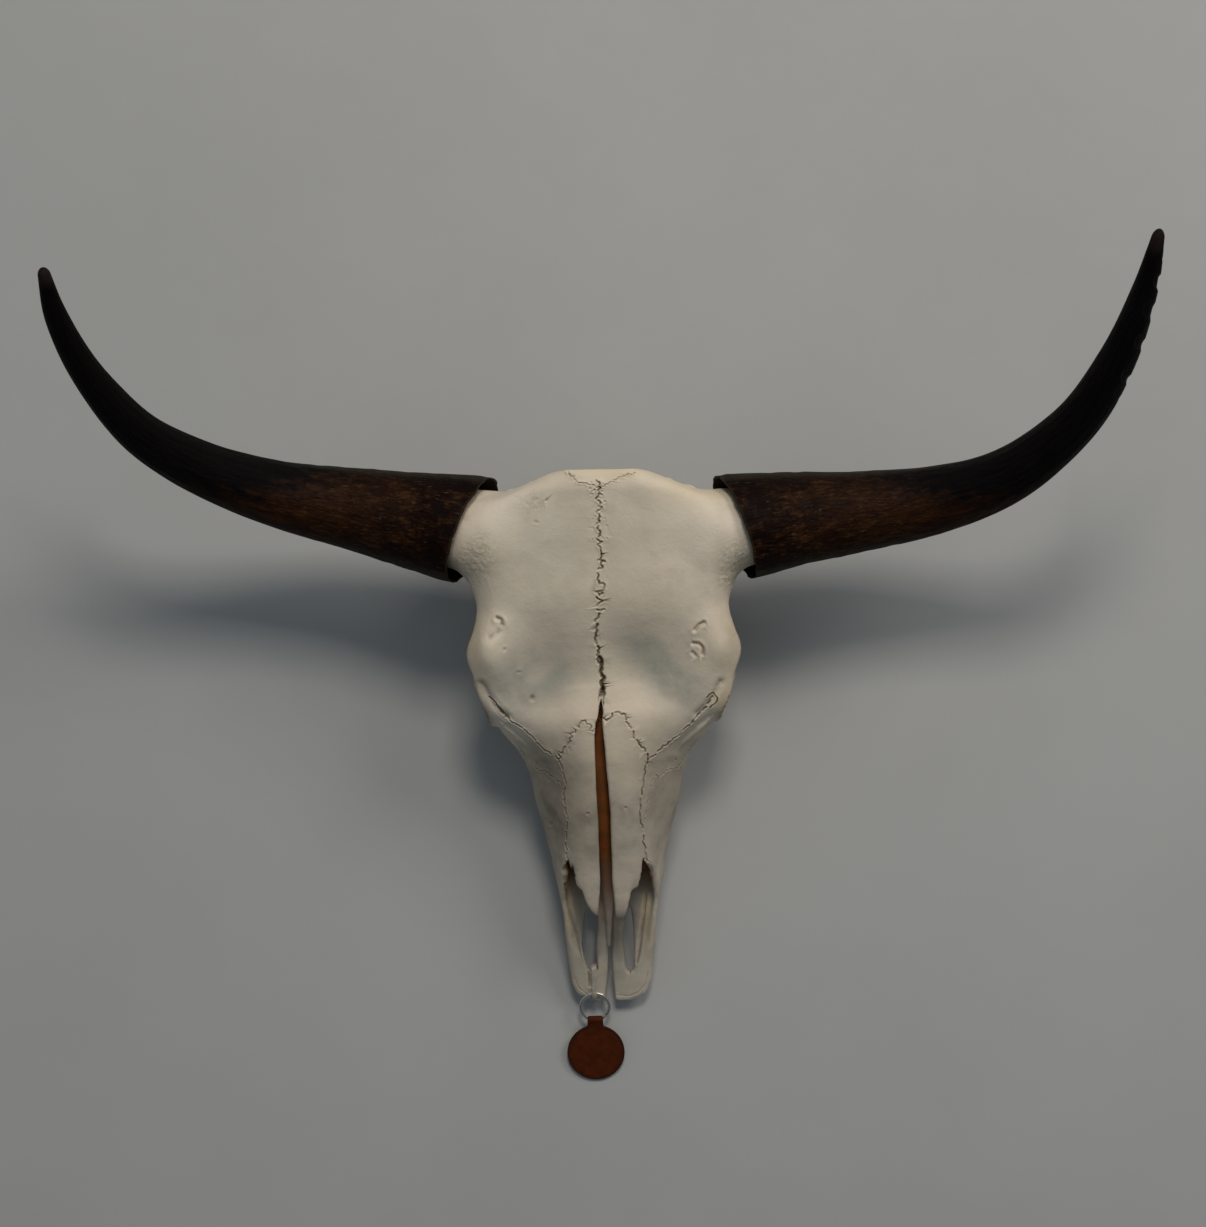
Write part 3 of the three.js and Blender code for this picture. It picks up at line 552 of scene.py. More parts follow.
def hollow_radius(radius, share):
    return (radius - HORN_WALL) * (1 - 0.25 * share)


def core_radius(radius, share):
    return hollow_radius(radius, share) * (0.62 + 0.22 * smoothstep(0, 0.07, share)) - FIT_GAP


def beyond_mouth(horn, points):
    """How far points lie on the skull's side of the plane of the sheath's mouth."""
    faces = np.array(horn["mouth_faces"])
    return (points - np.array(horn["mouth"], float)) @ (faces / np.linalg.norm(faces))


def add_horn_cores(field):
    """Clears the room that each sheath takes and grows the bony core out of the forehead into it."""
    for horn in HORNS.values():
        centres, radii, shares = horn_path(horn)
        few = slice(0, int(len(shares) * ROOT_REACH), 8)
        core = core_radius(radii, shares)[few, None]
        room = bar(xs, centres[few], (radii[few, None] + FIT_GAP + 0.4) * (1, 1), per_span=1)
        at = np.stack(np.meshgrid(xs, ys, zs, indexing="ij"), axis=-1)
        room = np.maximum(room, beyond_mouth(horn, at) - 0.8).astype(np.float32)
        field = cut_away(field, room, 9)
        field = join(field, bar(xs, centres[few], core * (1, 1), per_span=1), 13)
    return field


def far_core(horn):
    """The rest of a core, as a closed tube that starts inside the bone near the mouth."""
    centres, radii, shares = horn_path(horn)
    inside = np.flatnonzero(np.abs(centres[:, 0]) > FAR_CORE_FROM)[0]
    rows = np.arange(inside, int(len(shares) * CORE_REACH), 4)
    tip = np.clip((CORE_REACH - shares[rows]) / 0.05, 0, 1) ** 0.5
    size = core_radius(radii, shares)[rows] - 0.3
    return tube(centres[rows], size * tip, 40)


def frames_along(centres):
    """Unit vectors along a line, and two square to it, the first as upright as it can be."""
    along = unit(np.gradient(centres, axis=0))
    up = unit(np.array([0, 0, 1.0]) - along[:, 2:3] * along)
    return along, up, np.cross(along, up)


def tube(centres, radii, around):
    """A closed tube of round sections."""
    _, up, side = frames_along(centres)
    angle = np.arange(around) / around * 2 * np.pi
    rings = (
        centres[:, None] + radii[:, None, None]
        * (up[:, None] * np.cos(angle)[None, :, None] + side[:, None] * np.sin(angle)[None, :, None]))
    return from_rings(rings)


# From the distance field to a mesh


def meshed(field):
    """The surface of a distance field as points and four-cornered faces."""
    grid = openvdb.FloatGrid(REACH)
    grid.copyFromArray(np.ascontiguousarray(field, np.float32))
    points, _, quads = grid.convertToPolygons(isovalue=0.0, adaptivity=0.0)
    return points * STEP + np.array([xs[0], ys[0], zs[0]]), quads.astype(np.int64)


def largest_shell(points, quads):
    """Drops loose specks, by passing the lowest point number of each shell along its faces."""
    label = np.arange(len(points))
    while True:
        lowest = label[quads].min(1)
        spread = label.copy()
        np.minimum.at(spread, quads.ravel(), np.repeat(lowest, 4))
        spread = spread[spread]
        if np.array_equal(spread, label):
            break
        label = spread
    shells, sizes = np.unique(label[quads[:, 0]], return_counts=True)
    kept = quads[label[quads[:, 0]] == shells[sizes.argmax()]]
    used, renumbered = np.unique(kept, return_inverse=True)
    return points[used], renumbered.reshape(kept.shape)


def new_mesh(name, points, faces):
    mesh = bpy.data.meshes.new(name)
    mesh.from_pydata(points.tolist() if isinstance(points, np.ndarray) else points, [], faces)
    mesh.validate()
    mesh.update()
    return mesh


def thinned(points, faces, share):
    """The same surface with that share of its triangles, more of them where it bends."""
    mesh = new_mesh("thinned", points, faces.tolist())
    stand_in = placed("thinned", mesh)
    modifier = stand_in.modifiers.new("thin", "DECIMATE")
    modifier.ratio = share
    modifier.use_collapse_triangulate = True
    result = stand_in.evaluated_get(bpy.context.evaluated_depsgraph_get()).to_mesh()
    out_points = np.empty(len(result.vertices) * 3)
    result.vertices.foreach_get("co", out_points)
    result.calc_loop_triangles()
    out_faces = np.empty(len(result.loop_triangles) * 3, np.int32)
    result.loop_triangles.foreach_get("vertices", out_faces)
    bpy.data.objects.remove(stand_in)
    bpy.data.meshes.remove(mesh)
    return out_points.reshape(-1, 3), out_faces.reshape(-1, 3).astype(np.int64)


def refined(points, faces, wanted):
    """Splits in half those edges of triangles that wanted(middles, lengths) picks, and leaves no gaps."""
    pairs = np.sort(faces[:, [[0, 1], [1, 2], [2, 0]]].reshape(-1, 2), axis=1)
    keys, which = np.unique(pairs[:, 0] * len(points) + pairs[:, 1], return_inverse=True)
    ends = np.stack([keys // len(points), keys % len(points)], axis=1)
    middles = points[ends].mean(1)
    lengths = np.linalg.norm(points[ends[:, 0]] - points[ends[:, 1]], axis=1)
    split = wanted(middles, lengths)
    number = np.full(len(keys), -1)
    number[split] = len(points) + np.arange(split.sum())
    middle = number[which].reshape(-1, 3)
    count = (middle >= 0).sum(1)
    out = [faces[count == 0]]
    every = count == 3
    (a, b, c), (ab, bc, ca) = faces[every].T, middle[every].T
    for corners in ((a, ab, ca), (ab, b, bc), (ca, bc, c), (ab, bc, ca)):
        out.append(np.stack(corners, axis=1))
    for turn in range(3):
        turned, cuts = np.roll(faces, -turn, axis=1), np.roll(middle, -turn, axis=1)
        one = (count == 1) & (cuts[:, 0] >= 0)
        (a, b, c), ab = turned[one].T, cuts[one, 0]
        for corners in ((a, ab, c), (ab, b, c)):
            out.append(np.stack(corners, axis=1))
        two = (count == 2) & (cuts[:, 2] < 0)
        (a, b, c), (ab, bc, _) = turned[two].T, cuts[two].T
        for corners in ((ab, b, bc), (a, ab, bc), (a, bc, c)):
            out.append(np.stack(corners, axis=1))
    return np.vstack([points, middles[split]]), np.vstack(out)


def point_normals(points, faces):
    corners = points[faces]
    across = np.cross(corners[:, 1] - corners[:, 0], corners[:, 2] - corners[:, 0])
    total = np.zeros_like(points)
    for k in range(3):
        np.add.at(total, faces[:, k], across)
    return total / np.maximum(np.linalg.norm(total, axis=1, keepdims=True), 1e-12)


# Fine relief of the face, drawn on a map of the skull seen from above

CELL = 0.4  # of the map, in millimetres
map_x = np.arange(-136, 136, CELL)
map_y = np.arange(-8, 492, CELL)
MAP_START = np.array([map_x[0], map_y[0]])


def window(low, high):
    """The part of the map from low to high, and where its cells are."""
    first = np.clip(((np.asarray(low) - MAP_START) / CELL).astype(int), 0, None)
    last = ((np.asarray(high) - MAP_START) / CELL).astype(int) + 1
    cut = (slice(first[0], last[0]), slice(first[1], last[1]))
    return cut, np.meshgrid(map_x[cut[0]], map_y[cut[1]], indexing="ij")


def distance_to_line(line, reach):
    """Distance from the map's cells to a line, in a window round it."""
    cut, (x, y) = window(line.min(0) - reach, line.max(0) + reach)
    best = np.full(x.shape, float(reach))
    for start, end in zip(line[:-1], line[1:]):
        low, high = np.minimum(start, end) - reach, np.maximum(start, end) + reach
        i0, i1 = np.searchsorted(x[:, 0], (low[0], high[0]))
        j0, j1 = np.searchsorted(y[0], (low[1], high[1]))
        px, py = x[i0:i1, j0:j1] - start[0], y[i0:i1, j0:j1] - start[1]
        ex, ey = end - start
        t = np.clip((px * ex + py * ey) / max(ex * ex + ey * ey, 1e-9), 0, 1)
        part = best[i0:i1, j0:j1]
        np.minimum(part, np.hypot(px - t * ex, py - t * ey), out=part)
    return cut, best


SUTURE_STEP = 0.3


def squiggle(route, swing, wave, seed):
    """A suture: a route that wanders from side to side by about `swing` in loose, uneven bends."""
    rough_line = spline(route, 12)
    length = np.linalg.norm(np.diff(rough_line, axis=0), axis=1).sum()
    line = resampled(rough_line, int(length / SUTURE_STEP) + 2)
    reach = np.column_stack([np.linspace(0, length, len(line)), np.zeros(len(line))])
    sideways = 1.9 * noise(reach, wave / 2, seed) + 0.6 * noise(reach, wave / 5, seed + 50)
    lengthwise = 1.1 * noise(reach, wave / 2.4, seed + 100)
    swing = swing * np.clip(np.minimum(reach[:, 0], length - reach[:, 0]) / 3, 0, 1)[:, None]
    along = unit(np.gradient(line, axis=0))
    across = np.stack([-along[:, 1], along[:, 0]], axis=1)
    return line + swing * (sideways[:, None] * across + lengthwise[:, None] * along)


def dashes(line, run, seed):
    """A line cut into pieces about `run` long, with short gaps; run 0 leaves it whole."""
    if not run:
        return [line]
    dice = np.random.default_rng(seed)
    step = np.linalg.norm(np.diff(line, axis=0), axis=1).mean()
    pieces, start = [], 0
    while start < len(line) - 3:
        end = start + max(3, int(run * dice.uniform(0.5, 1.6) / step))
        pieces.append(line[start:end])
        start = end + int(run * dice.uniform(0.08, 0.35) / step)
    return pieces


# Each: route, swing, wave, half width, depth, length of its dashes. x and y as seen from above.
SUTURES = [
    ([(-30, 477), (-25.4, 474.5), (-16, 468.3), (-5, 465.5), (4.3, 465.3), (15.5, 471.4), (30.6, 476)],
     0.7, 4, 0.42, 0.9, 2.5),
    ([(-3, 470), (-1.5, 464), (-1.5, 446), (-1, 424), (-0.5, 407)], 1.3, 4.5, 0.56, 1.6, 4),
    ([(-0.5, 407), (-1.5, 398), (-1, 389), (-2, 381), (-2.5, 372), (-2.5, 364), (-3, 356)],
     2.6, 7, 0.6, 1.8, 9),
    ([(-3, 356), (-6, 349.5), (-6.5, 340), (-6.5, 332), (-4.5, 321), (-3, 311)], 1.1, 7, 0.78, 2.4, 15),
    ([(-4, 318), (-2, 302), (-1.5, 289), (-3, 278)], 0.8, 9, 1.2, 5, 0),
    ([(-1.5, 291), (-3, 287), (-3.6, 282)], 0.5, 8, 1.5, 6, 0),
    ([(-5, 268), (-10, 254), (-12.5, 256), (-16.5, 261.5), (-21.5, 261.5), (-25.5, 256), (-29.5, 251),
      (-32.5, 243.5), (-37.5, 238), (-42.5, 229)], 0.8, 4.5, 0.5, 1.2, 6),
    ([(-4, 264), (2.5, 265), (6, 268.5), (10.5, 270.5), (14.5, 269), (18, 263), (22, 255), (25.5, 247),
      (30, 240.5), (33.5, 237), (36.5, 227)], 0.8, 4.5, 0.56, 1.5, 12),
    ([(-42.5, 229), (-40.5, 221), (-37.5, 212.5), (-37, 206), (-38.5, 198), (-37.5, 186.5), (-36, 176.5),
      (-37, 163), (-38, 153), (-37, 139.5)], 0.5, 6, 0.5, 0.85, 12),
    ([(36.5, 227), (34, 219), (33, 211), (31.5, 201), (29, 188), (29, 175), (30.5, 161.5), (32, 151.5),
      (33.5, 141.5), (34, 135)], 0.5, 6, 0.52, 1.1, 24),
    ([(-101.5, 285.5), (-97.5, 282.5), (-93.5, 273.5), (-85.5, 265), (-76, 258), (-68, 252), (-59, 240.5),
      (-49.5, 234), (-42.5, 229)], 0.5, 6, 0.56, 1.2, 14),
    ([(36.5, 227), (43, 231), (49.5, 236.5), (57.5, 242.5), (66, 249), (74, 256.5), (82, 264.5),
      (88.5, 272.5), (94.5, 281)], 0.5, 6, 0.56, 1.3, 14),
    ([(-80.5, 244.5), (-75, 230.5), (-67, 221), (-57, 216), (-47, 210), (-40, 204)], 0.7, 5, 0.36, 0.6, 5),
    ([(77, 240), (74, 228.5), (69.5, 222.5), (63, 216.5), (56, 214), (49, 211.5), (42.5, 210),
      (38.5, 199.5), (35, 184.5), (33, 173)], 0.7, 5, 0.36, 0.6, 5),
    ([(-95.5, 279), (-88, 270), (-82, 262)], 0.4, 6, 0.5, 0.8, 0),
    ([(89, 281), (95, 284), (98, 279), (92, 271)], 0.4, 6, 0.5, 0.8, 0),
    ([(-37.9, 139.5), (-42, 136), (-44.7, 129), (-44.9, 119)], 0.3, 5, 0.36, 0.5, 3),
    ([(30.8, 138), (36, 134), (38.6, 127), (38.4, 116)], 0.3, 5, 0.36, 0.5, 3),
    ([(17, 29), (17.5, 26)], 0.2, 4, 0.36, 0.4, 0),
]

OPEN_SEAM = 1.8  # how strongly a seam that has come apart is marked, where a closed one is 1 at most
DENT_SEAM = 0.45
OPEN_DEPTH = 4  # a seam deeper than this is a gap between bones, with hardly any lips

# Dents and holes: route, half width, depth.
DENTS = [
    ([(-91.5, 354.5), (-88.5, 353), (-87.5, 349)], 1.4, 3.0),
    ([(-88, 347), (-91, 343), (-97, 339)], 2.6, 0.8),
    ([(79, 340), (83, 344.5), (87, 346.5)], 1.3, 2.6),
    ([(77.5, 328.5), (82, 328), (85.5, 324.5), (85.5, 319)], 1.2, 2.4),
    ([(76.5, 320.5), (79, 318)], 1.2, 1.6),
    ([(-63.5, 283.5), (-63.2, 284.5)], 1.5, 2.2),
    ([(-75, 307), (-73, 307)], 1.0, 0.5),
    ([(-86.5, 327), (-86, 327.5)], 1.1, 0.6),
    ([(-18, 180.5), (-17, 180.3)], 0.8, 0.9),
    ([(15.5, 185), (16.2, 185.2)], 0.8, 0.8),
    ([(-46, 454), (-45.5, 454.5)], 0.9, 0.9),
    ([(-56.5, 436.5), (-54, 436)], 1.0, 0.4),
    ([(-27, 477), (-24, 474), (-22, 474)], 0.8, 1.3),
    ([(-53, 168), (-52.5, 169)], 1.1, 0.8),
    ([(-39.5, 113), (-37.5, 98), (-34.7, 82), (-31, 66), (-28, 52.5), (-25, 39.6), (-21, 30), (-20, 14)],
     1.1, 2.0),
    ([(32.6, 99), (30.5, 82), (28, 64), (25.8, 48), (23, 36)], 1.1, 1.9),
    ([(4.6, 4.2), (15.7, 3.6), (25, 7.8), (31.2, 15), (34, 27)], 0.5, 0.35),
    ([(-33.5, 22), (-30.5, 13), (-25, 7.5), (-20, 4)], 0.5, 0.3),
    ([(-107, 298), (-102, 288), (-95.5, 277), (-87, 268)], 2.4, 1.5),
    ([(101, 294), (95.5, 284), (89, 275), (81, 266.5)], 2.4, 1.5),
]


def suture_pits():
    """Small pits to each side of the upper part of the suture between the frontal bones."""
    dice = np.random.default_rng(5)
    pits = []
    for y in dice.uniform(418, 468, 26):
        x = -1.5 + dice.choice((-1, 1)) * dice.uniform(2, 7)
        pits.append(([(x, y), (x + 0.1, y + 0.1)], dice.uniform(0.4, 0.7), dice.uniform(0.5, 1.0)))
    return pits


# Broad swellings and hollows: middle, half widths, turn, height.
SWELLS = [
    (-44, 320, 42, 25, 0.2, -1.6), (44, 326, 50, 24, -0.55, -2),
    (-101, 325, 10, 18, 0, 5.5), (101, 325, 10, 18, 0, 5.5),
    (-50, 424, 34, 36, 0, 1.5), (50, 424, 34, 36, 0, 1.5),
    (-79, 243, 36, 12, -0.79, -4.5), (79, 245, 36, 12, 0.79, -4.5),
    (-51, 185, 10, 55, 0, -2.2), (48, 185, 10, 55, 0, -2.2),
    (0, 405, 9, 70, 0, -0.9), (-24, 180, 9, 75, 0, 1.9), (17, 180, 8, 75, 0, 1.9),
    (-40, 129, 4, 10, 0, 1.2), (37, 129, 4, 10, 0, 1.2),
]

# Where the bone is rough or warm, and where grey shade and darker shade on the snout are painted on: middle,
# half widths, and, where it isn't an even round patch, its turn, its strength and the power of its edge.
SPOTS = {
    "rough": [
        (-110, 399, 15, 15), (-104, 415, 12, 12), (117, 402, 15, 15), (110, 384, 10, 10), (-58, 452, 9, 9)],
    # painted shade: grey for the shade in the forehead's dish between the eyes and on faces turned from the
    # light
    "painted_grey_shade": [
        (-62, 302, 46, 27, 0.2, 1.1, 3), (50, 306, 52, 21, -0.75, 1.1, 3), (-40, 410, 46, 66, 0, 0.4),
        (0, 40, 44, 44, 0, 0.6)],
    "warm": [
        (118, 340, 9, 34), (92, 462, 34, 9), (104, 280, 9, 14), (-112, 330, 6, 26), (10, 478, 40, 7),
        (-38, 84, 5, 30), (33, 80, 5, 30)],
    # painted shade: darker, bluish-grey bone over the snout and its sides, which slope away from the light
    "painted_snout_shade": [
        (-41, 190, 38, 78, 0.12, 1.0, 3), (50, 185, 36, 78, -0.15, 0.85, 3), (4, 150, 24, 70, 0, 0.4, 3),
        (0, 60, 58, 54, 0, 0.75, 3)],
}

# The longest edges that the mesh may have in a seam, beside one, on rough bone and elsewhere.
SEAM_EDGE, BESIDE_EDGE, ROUGH_EDGE, PLAIN_EDGE = 0.55, 1.3, 1.2, 9.0


def soft_ellipse(x, y, a, b, turn=0.0, weight=1.0, power=2):
    """A soft-edged ellipse on the map, with half widths a and b; a high power fades sharply."""
    x, y = (map_x - x)[:, None], (map_y - y)[None]
    cos, sin = math.cos(turn), math.sin(turn)
    return weight * np.exp(-np.hypot((x * cos + y * sin) / a, (y * cos - x * sin) / b) ** power)


def marks():
    """All that is drawn on the map as a line: its course, half width, depth, and how strong a seam it is."""
    lines = []
    for seed, (route, swing, wave, width, depth, run) in enumerate(SUTURES):
        for piece in dashes(squiggle(route, swing, wave, seed), run, seed):
            lines.append((piece, width, depth, min(1, depth / 1.3) if run else OPEN_SEAM))
    for route, width, depth in DENTS + suture_pits():
        lines.append((resampled(spline(route, 8), 24), width, depth, DENT_SEAM))
    return lines


def draw_maps():
    """Height of the relief in millimetres, how much of a seam there is, how closely the mesh needs to be
    divided to show it, the masks of rough and warm bone, and the masks where grey shade and darker shade on
    the snout are painted on."""
    size = (len(map_x), len(map_y))
    swells = sum(soft_ellipse(*swell) for swell in SWELLS)
    maps = {"height": swells, "seam": np.zeros(size), "edge": np.full(size, PLAIN_EDGE)}
    for line, width, depth, seam in marks():
        cut, gap = distance_to_line(line, 4 * width + 3)
        lip_height = min(0.42, depth * 0.36) if depth < OPEN_DEPTH else 0.1
        lips = bump(gap - 2.6 * width, 1.2 * width) * lip_height
        maps["height"][cut] += lips - depth * bump(gap, width)
        maps["seam"][cut] = np.maximum(maps["seam"][cut], seam * bump(gap, 1.3 * width))
        beside = np.where(gap < 3.4 * width + 1.4, BESIDE_EDGE, PLAIN_EDGE)
        edge = np.where(gap < 2.2 * width + 0.6, SEAM_EDGE, beside)
        maps["edge"][cut] = np.minimum(maps["edge"][cut], edge)
    for name, spots in SPOTS.items():
        maps[name] = np.clip(sum(soft_ellipse(*spot) for spot in spots), 0, 1)
    maps["edge"] = np.minimum(maps["edge"], np.where(maps["rough"] > 0.3, ROUGH_EDGE, PLAIN_EDGE))
    return maps


def read_map(values, points):
    at = np.clip((points[:, :2] - MAP_START) / CELL, 0, np.array(values.shape) - 1.001)
    i, j = at.astype(int).T
    a, b = (at - at.astype(int)).T
    return (
        values[i, j] * (1 - a) * (1 - b) + values[i + 1, j] * a * (1 - b)
        + values[i, j + 1] * (1 - a) * b + values[i + 1, j + 1] * a * b)


# Teeth: name, length along the jaw and width across it, from front to back.
CHEEK_TEETH = [
    ("premolar_2", 16, 13), ("premolar_3", 18, 16.5), ("premolar_4", 17.5, 18.5),
    ("molar_1", 22, 20.5), ("molar_2", 26, 21.5), ("molar_3", 27, 20),
]
TOOTH_ROW = dict(start=128, length=127, front=38, bow=14)
TOOTH_GAP = 0.8
SOCKET_TOP = 47
SOCKET_ROOM = 0.5  # round the tooth


def tooth_places():
    """Name, middle of the tooth, its length and its width, for every tooth of both sides."""
    places = []
    y = TOOTH_ROW["start"]
    for name, space, width in CHEEK_TEETH:
        middle = y + space / 2
        share = (middle - TOOTH_ROW["start"]) / TOOTH_ROW["length"]
        outward = TOOTH_ROW["front"] + TOOTH_ROW["bow"] * math.sin(share * 0.5 * math.pi)
        for side, sign in (("left", -1), ("right", 1)):
            places.append((f"{name}_{side}", (sign * outward, middle), space - TOOTH_GAP, width))
        y += space
    return places


def with_sockets(field):
    x, y, z = xs[:, None, None], ys[None, :, None], zs[None, None, :]
    for _, (middle_x, middle_y), length, width in tooth_places():
        across = np.abs(x - middle_x) - width / 2 - SOCKET_ROOM
        along = np.abs(y - middle_y) - length / 2 - SOCKET_ROOM
        socket = np.maximum(np.maximum(across, along), z - SOCKET_TOP).astype(np.float32)
        field = cut_away(field, socket, 2)
    return field


NO_BONE = -99.0  # the height that a cell of the map has where there is none


def top_heights(field):
    """Height of the uppermost bone over each cell of the map."""
    inside = field < 0
    highest = len(zs) - 1 - np.argmax(inside[:, :, ::-1], axis=2)
    height = np.where(inside.any(2), zs[highest], NO_BONE)
    i = np.clip(np.round((map_x - xs[0]) / STEP).astype(int), 0, len(xs) - 1)
    j = np.clip(np.round((map_y - ys[0]) / STEP).astype(int), 0, len(ys) - 1)
    return height[np.ix_(i, j)]


BONE_SHARE = 0.12  # of the triangles that the distance field gives
BONE_REFINEMENTS = 4
STANDS_BELOW = 3  # the bone keeps its plain shape this near the table


def skull_field():
    """The distance fields of all the bone and of the airway."""
    half, airway = mirrored_half()
    field = join(front_cuts(both_sides(half)), scrolls(), 2)
    return with_sockets(add_horn_cores(field)), both_sides(airway)


def closely_divided(points, faces, maps):
    """The mesh with its upper side divided as closely as the map asks for."""

    def wanted(middles, lengths):
        on_top = middles[:, 2] > read_map(maps["top"], middles) - 7
        return on_top & (lengths > 1.35 * read_map(maps["edge"], middles))

    for _ in range(BONE_REFINEMENTS):
        points, faces = refined(points, faces, wanted)
    return points, faces


def bone_measures(points, on_top, maps, airway):
    """What the bone's material reads at each point."""
    measures = {name: on_top * read_map(maps[name], points) for name in ("seam", "rough", "painted_grey_shade", "warm")}
    # Painted shade on the snout and its sides.
    measures["painted_snout_shade"] = read_map(maps["painted_snout_shade"], points)
    out, back, up = np.abs(points[:, 0]), points[:, 1], points[:, 2]
    # Painted shade: a brown band on the outermost bone under the brow, where that bone lies in the brow's
    # shade.
    under_brow = smoothstep(98, 107, out) * smoothstep(322, 300, back) * smoothstep(236, 262, back)
    measures["painted_brow_shade"] = under_brow * smoothstep(150, 136, up)
    # Painted glow: orange-brown on the airway's walls stands in for light coming through the thin bone into
    # the dim airway.
    behind_lips = np.where(out < 14, smoothstep(55, 150, back), smoothstep(92, 134, back))
    measures["inside"] = behind_lips * smoothstep(4.5, 1.2, sampled(airway, points))
    past_mouth = np.maximum.reduce([
        -beyond_mouth(horn, points) * (np.sign(points[:, 0]) == sign)
        for horn, sign in zip(HORNS.values(), (-1, 1))])
    measures["core"] = smoothstep(-2, 8, past_mouth) * smoothstep(92, 104, out)
    return measures


def shaped_skull():
    """Points in millimetres, faces, and the measures at each point that the bone's material reads."""
    field, airway = skull_field()
    points, quads = largest_shell(*meshed(field))
    points, faces = thinned(points, quads, BONE_SHARE)
    maps = draw_maps()
    maps["top"] = top_heights(field)
    points, faces = closely_divided(points, faces, maps)
    normals = point_normals(points, faces)
    on_top = smoothstep(-11, -6, points[:, 2] - read_map(maps["top"], points))
    on_top *= smoothstep(0.05, 0.4, normals[:, 2])
    grain = 0.22 * noise(points, 3.4, 3) + 0.26 * noise(points, 1.3, 4)
    uneven = 0.35 * noise(points, 17, 1) + 0.16 * noise(points, 7, 2)
    rise = on_top * (read_map(maps["height"], points) + read_map(maps["rough"], points) * grain) + uneven
    rise[points[:, 2] < STANDS_BELOW] = 0
    return points + normals * rise[:, None], faces, bone_measures(points, on_top, maps, airway)


# Closed meshes from rings of points


def outward(points, faces):
    """The faces, with their corners turned round if they face in."""
    corners = np.array([face if len(face) == 4 else [*face, face[0]] for face in faces])
    at = (points - points.mean(0))[corners]
    volume = np.einsum("ij,ij->", at[:, 0], np.cross(at[:, 1], at[:, 2]) + np.cross(at[:, 2], at[:, 3]))
    return faces if volume > 0 else [face[::-1] for face in faces]


def from_rings(rings, loop=False):
    """A closed mesh from rings of points that all have the same count. A loop's last ring joins its first;
    otherwise a fan closes each end."""
    rows, around = rings.shape[:2]
    points = rings.reshape(-1, 3)
    ring = np.arange(around)
    after = np.roll(ring, -1)
    starts = np.arange(rows if loop else rows - 1)[:, None] * around
    nexts = (starts + around) % (rows * around)
    quads = np.stack([starts + ring, starts + after, nexts + after, nexts + ring], axis=-1)
    faces = quads.reshape(-1, 4).tolist()
    if not loop:
        first, last, base = rows * around, rows * around + 1, (rows - 1) * around
        points = np.vstack([points, rings[0].mean(0), rings[-1].mean(0)])
        faces += [[b, a, first] for a, b in zip(ring.tolist(), after.tolist())]
        faces += [[base + a, base + b, last] for a, b in zip(ring.tolist(), after.tolist())]
    return points, outward(points, faces)


def merged(parts):
    """One mesh from several closed ones, each (points, faces, measures)."""
    points, faces, measures = [], [], {key: [] for key in parts[0][2]}
    total = 0
    for part_points, part_faces, part_measures in parts:
        points.append(part_points)
        faces += [[corner + total for corner in face] for face in part_faces]
        total += len(part_points)
        for key, values in measures.items():
            values.append(np.broadcast_to(part_measures[key], len(part_points)))
    return np.vstack(points), faces, {key: np.concatenate(values) for key, values in measures.items()}


def super_circle(count, exponent):
    """Points round a unit circle that is squared off: 2 gives the circle itself."""
    angle = np.arange(count) / count * 2 * np.pi
    flat = np.stack([np.cos(angle), np.sin(angle)], axis=1)
    return np.sign(flat) * np.abs(flat) ** (2 / exponent)


def swept(route, wide, thick, half_width, half_thick, exponent=4, around=16):
    """Rings of a squared-off section along a route, from its two half sizes and their directions."""
    section = super_circle(around, exponent)
    across = section[None, :, :1] * np.reshape(half_width, (-1, 1, 1)) * wide[:, None]
    through = section[None, :, 1:] * np.reshape(half_thick, (-1, 1, 1)) * thick[:, None]
    return route[:, None] + across + through


def add_piece(name, mesh_parts, material, nodes, sharp=None):
    """Adds a finished piece, with its measures as point attributes, in place of its CAD nodes."""
    points, faces, measures = mesh_parts
    mesh = new_mesh(name, to_metres(points), faces)
    for key, values in measures.items():
        kind, field = ("FLOAT", "value") if values.ndim == 1 else ("FLOAT_VECTOR", "vector")
        attribute = mesh.attributes.new(key, kind, "POINT")
        attribute.data.foreach_set(field, np.asarray(values, np.float32).ravel())
    mesh.materials.append(material)
    mesh.shade_smooth()
    if sharp:
        mesh.set_sharp_from_angle(angle=math.radians(sharp))
    piece = placed(name, mesh)
    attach(piece, "root")
    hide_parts(*nodes)


# Horn sheaths

SHEATH_ROWS = 380
SHEATH_AROUND = 160
HOLLOW_ROWS = 60
LIP = 1.3  # thickness of the horn at the worn edge of its mouth
MOUTH_BEFORE = 0.36  # the share of a horn's line by which its mouth has ended all round
TIP_FROM, TIP_LENGTH = 0.985, 0.015  # the share from which its tip is rounded, and what is left
WAVES = [  # on a horn's surface: height, turns' size, how far stretched lengthwise, wavelength, seed
    (0.2, 30, 11, 2.2, 22), (0.28, 30, 11, 6, 23), (0.7, 30, 1, 40, 24)]
CHIPS = [  # on the right horn's outer edge, from above: middle, half length, depth
    ((455, 628), 2.6, 2.4), ((451, 611), 4.5, 1.8), ((446, 590), 5.5, 1.3), ((441, 566), 4.5, 1.5),
    ((433, 540), 4.0, 1.6), ((427, 526), 3.0, 1.0)]


def horn_frame(horn, shares):
    """Middle, radius and the two directions square to the line, at shares of a horn's length."""
    centres, radii, at = horn_path(horn)
    along, up, side = frames_along(centres)
    table = np.column_stack([centres, radii, up, side, along])
    read = np.stack([np.interp(shares, at, column) for column in table.T], axis=-1)
    return read[..., :3], read[..., 3], read[..., 4:7], read[..., 7:10], read[..., 10:]


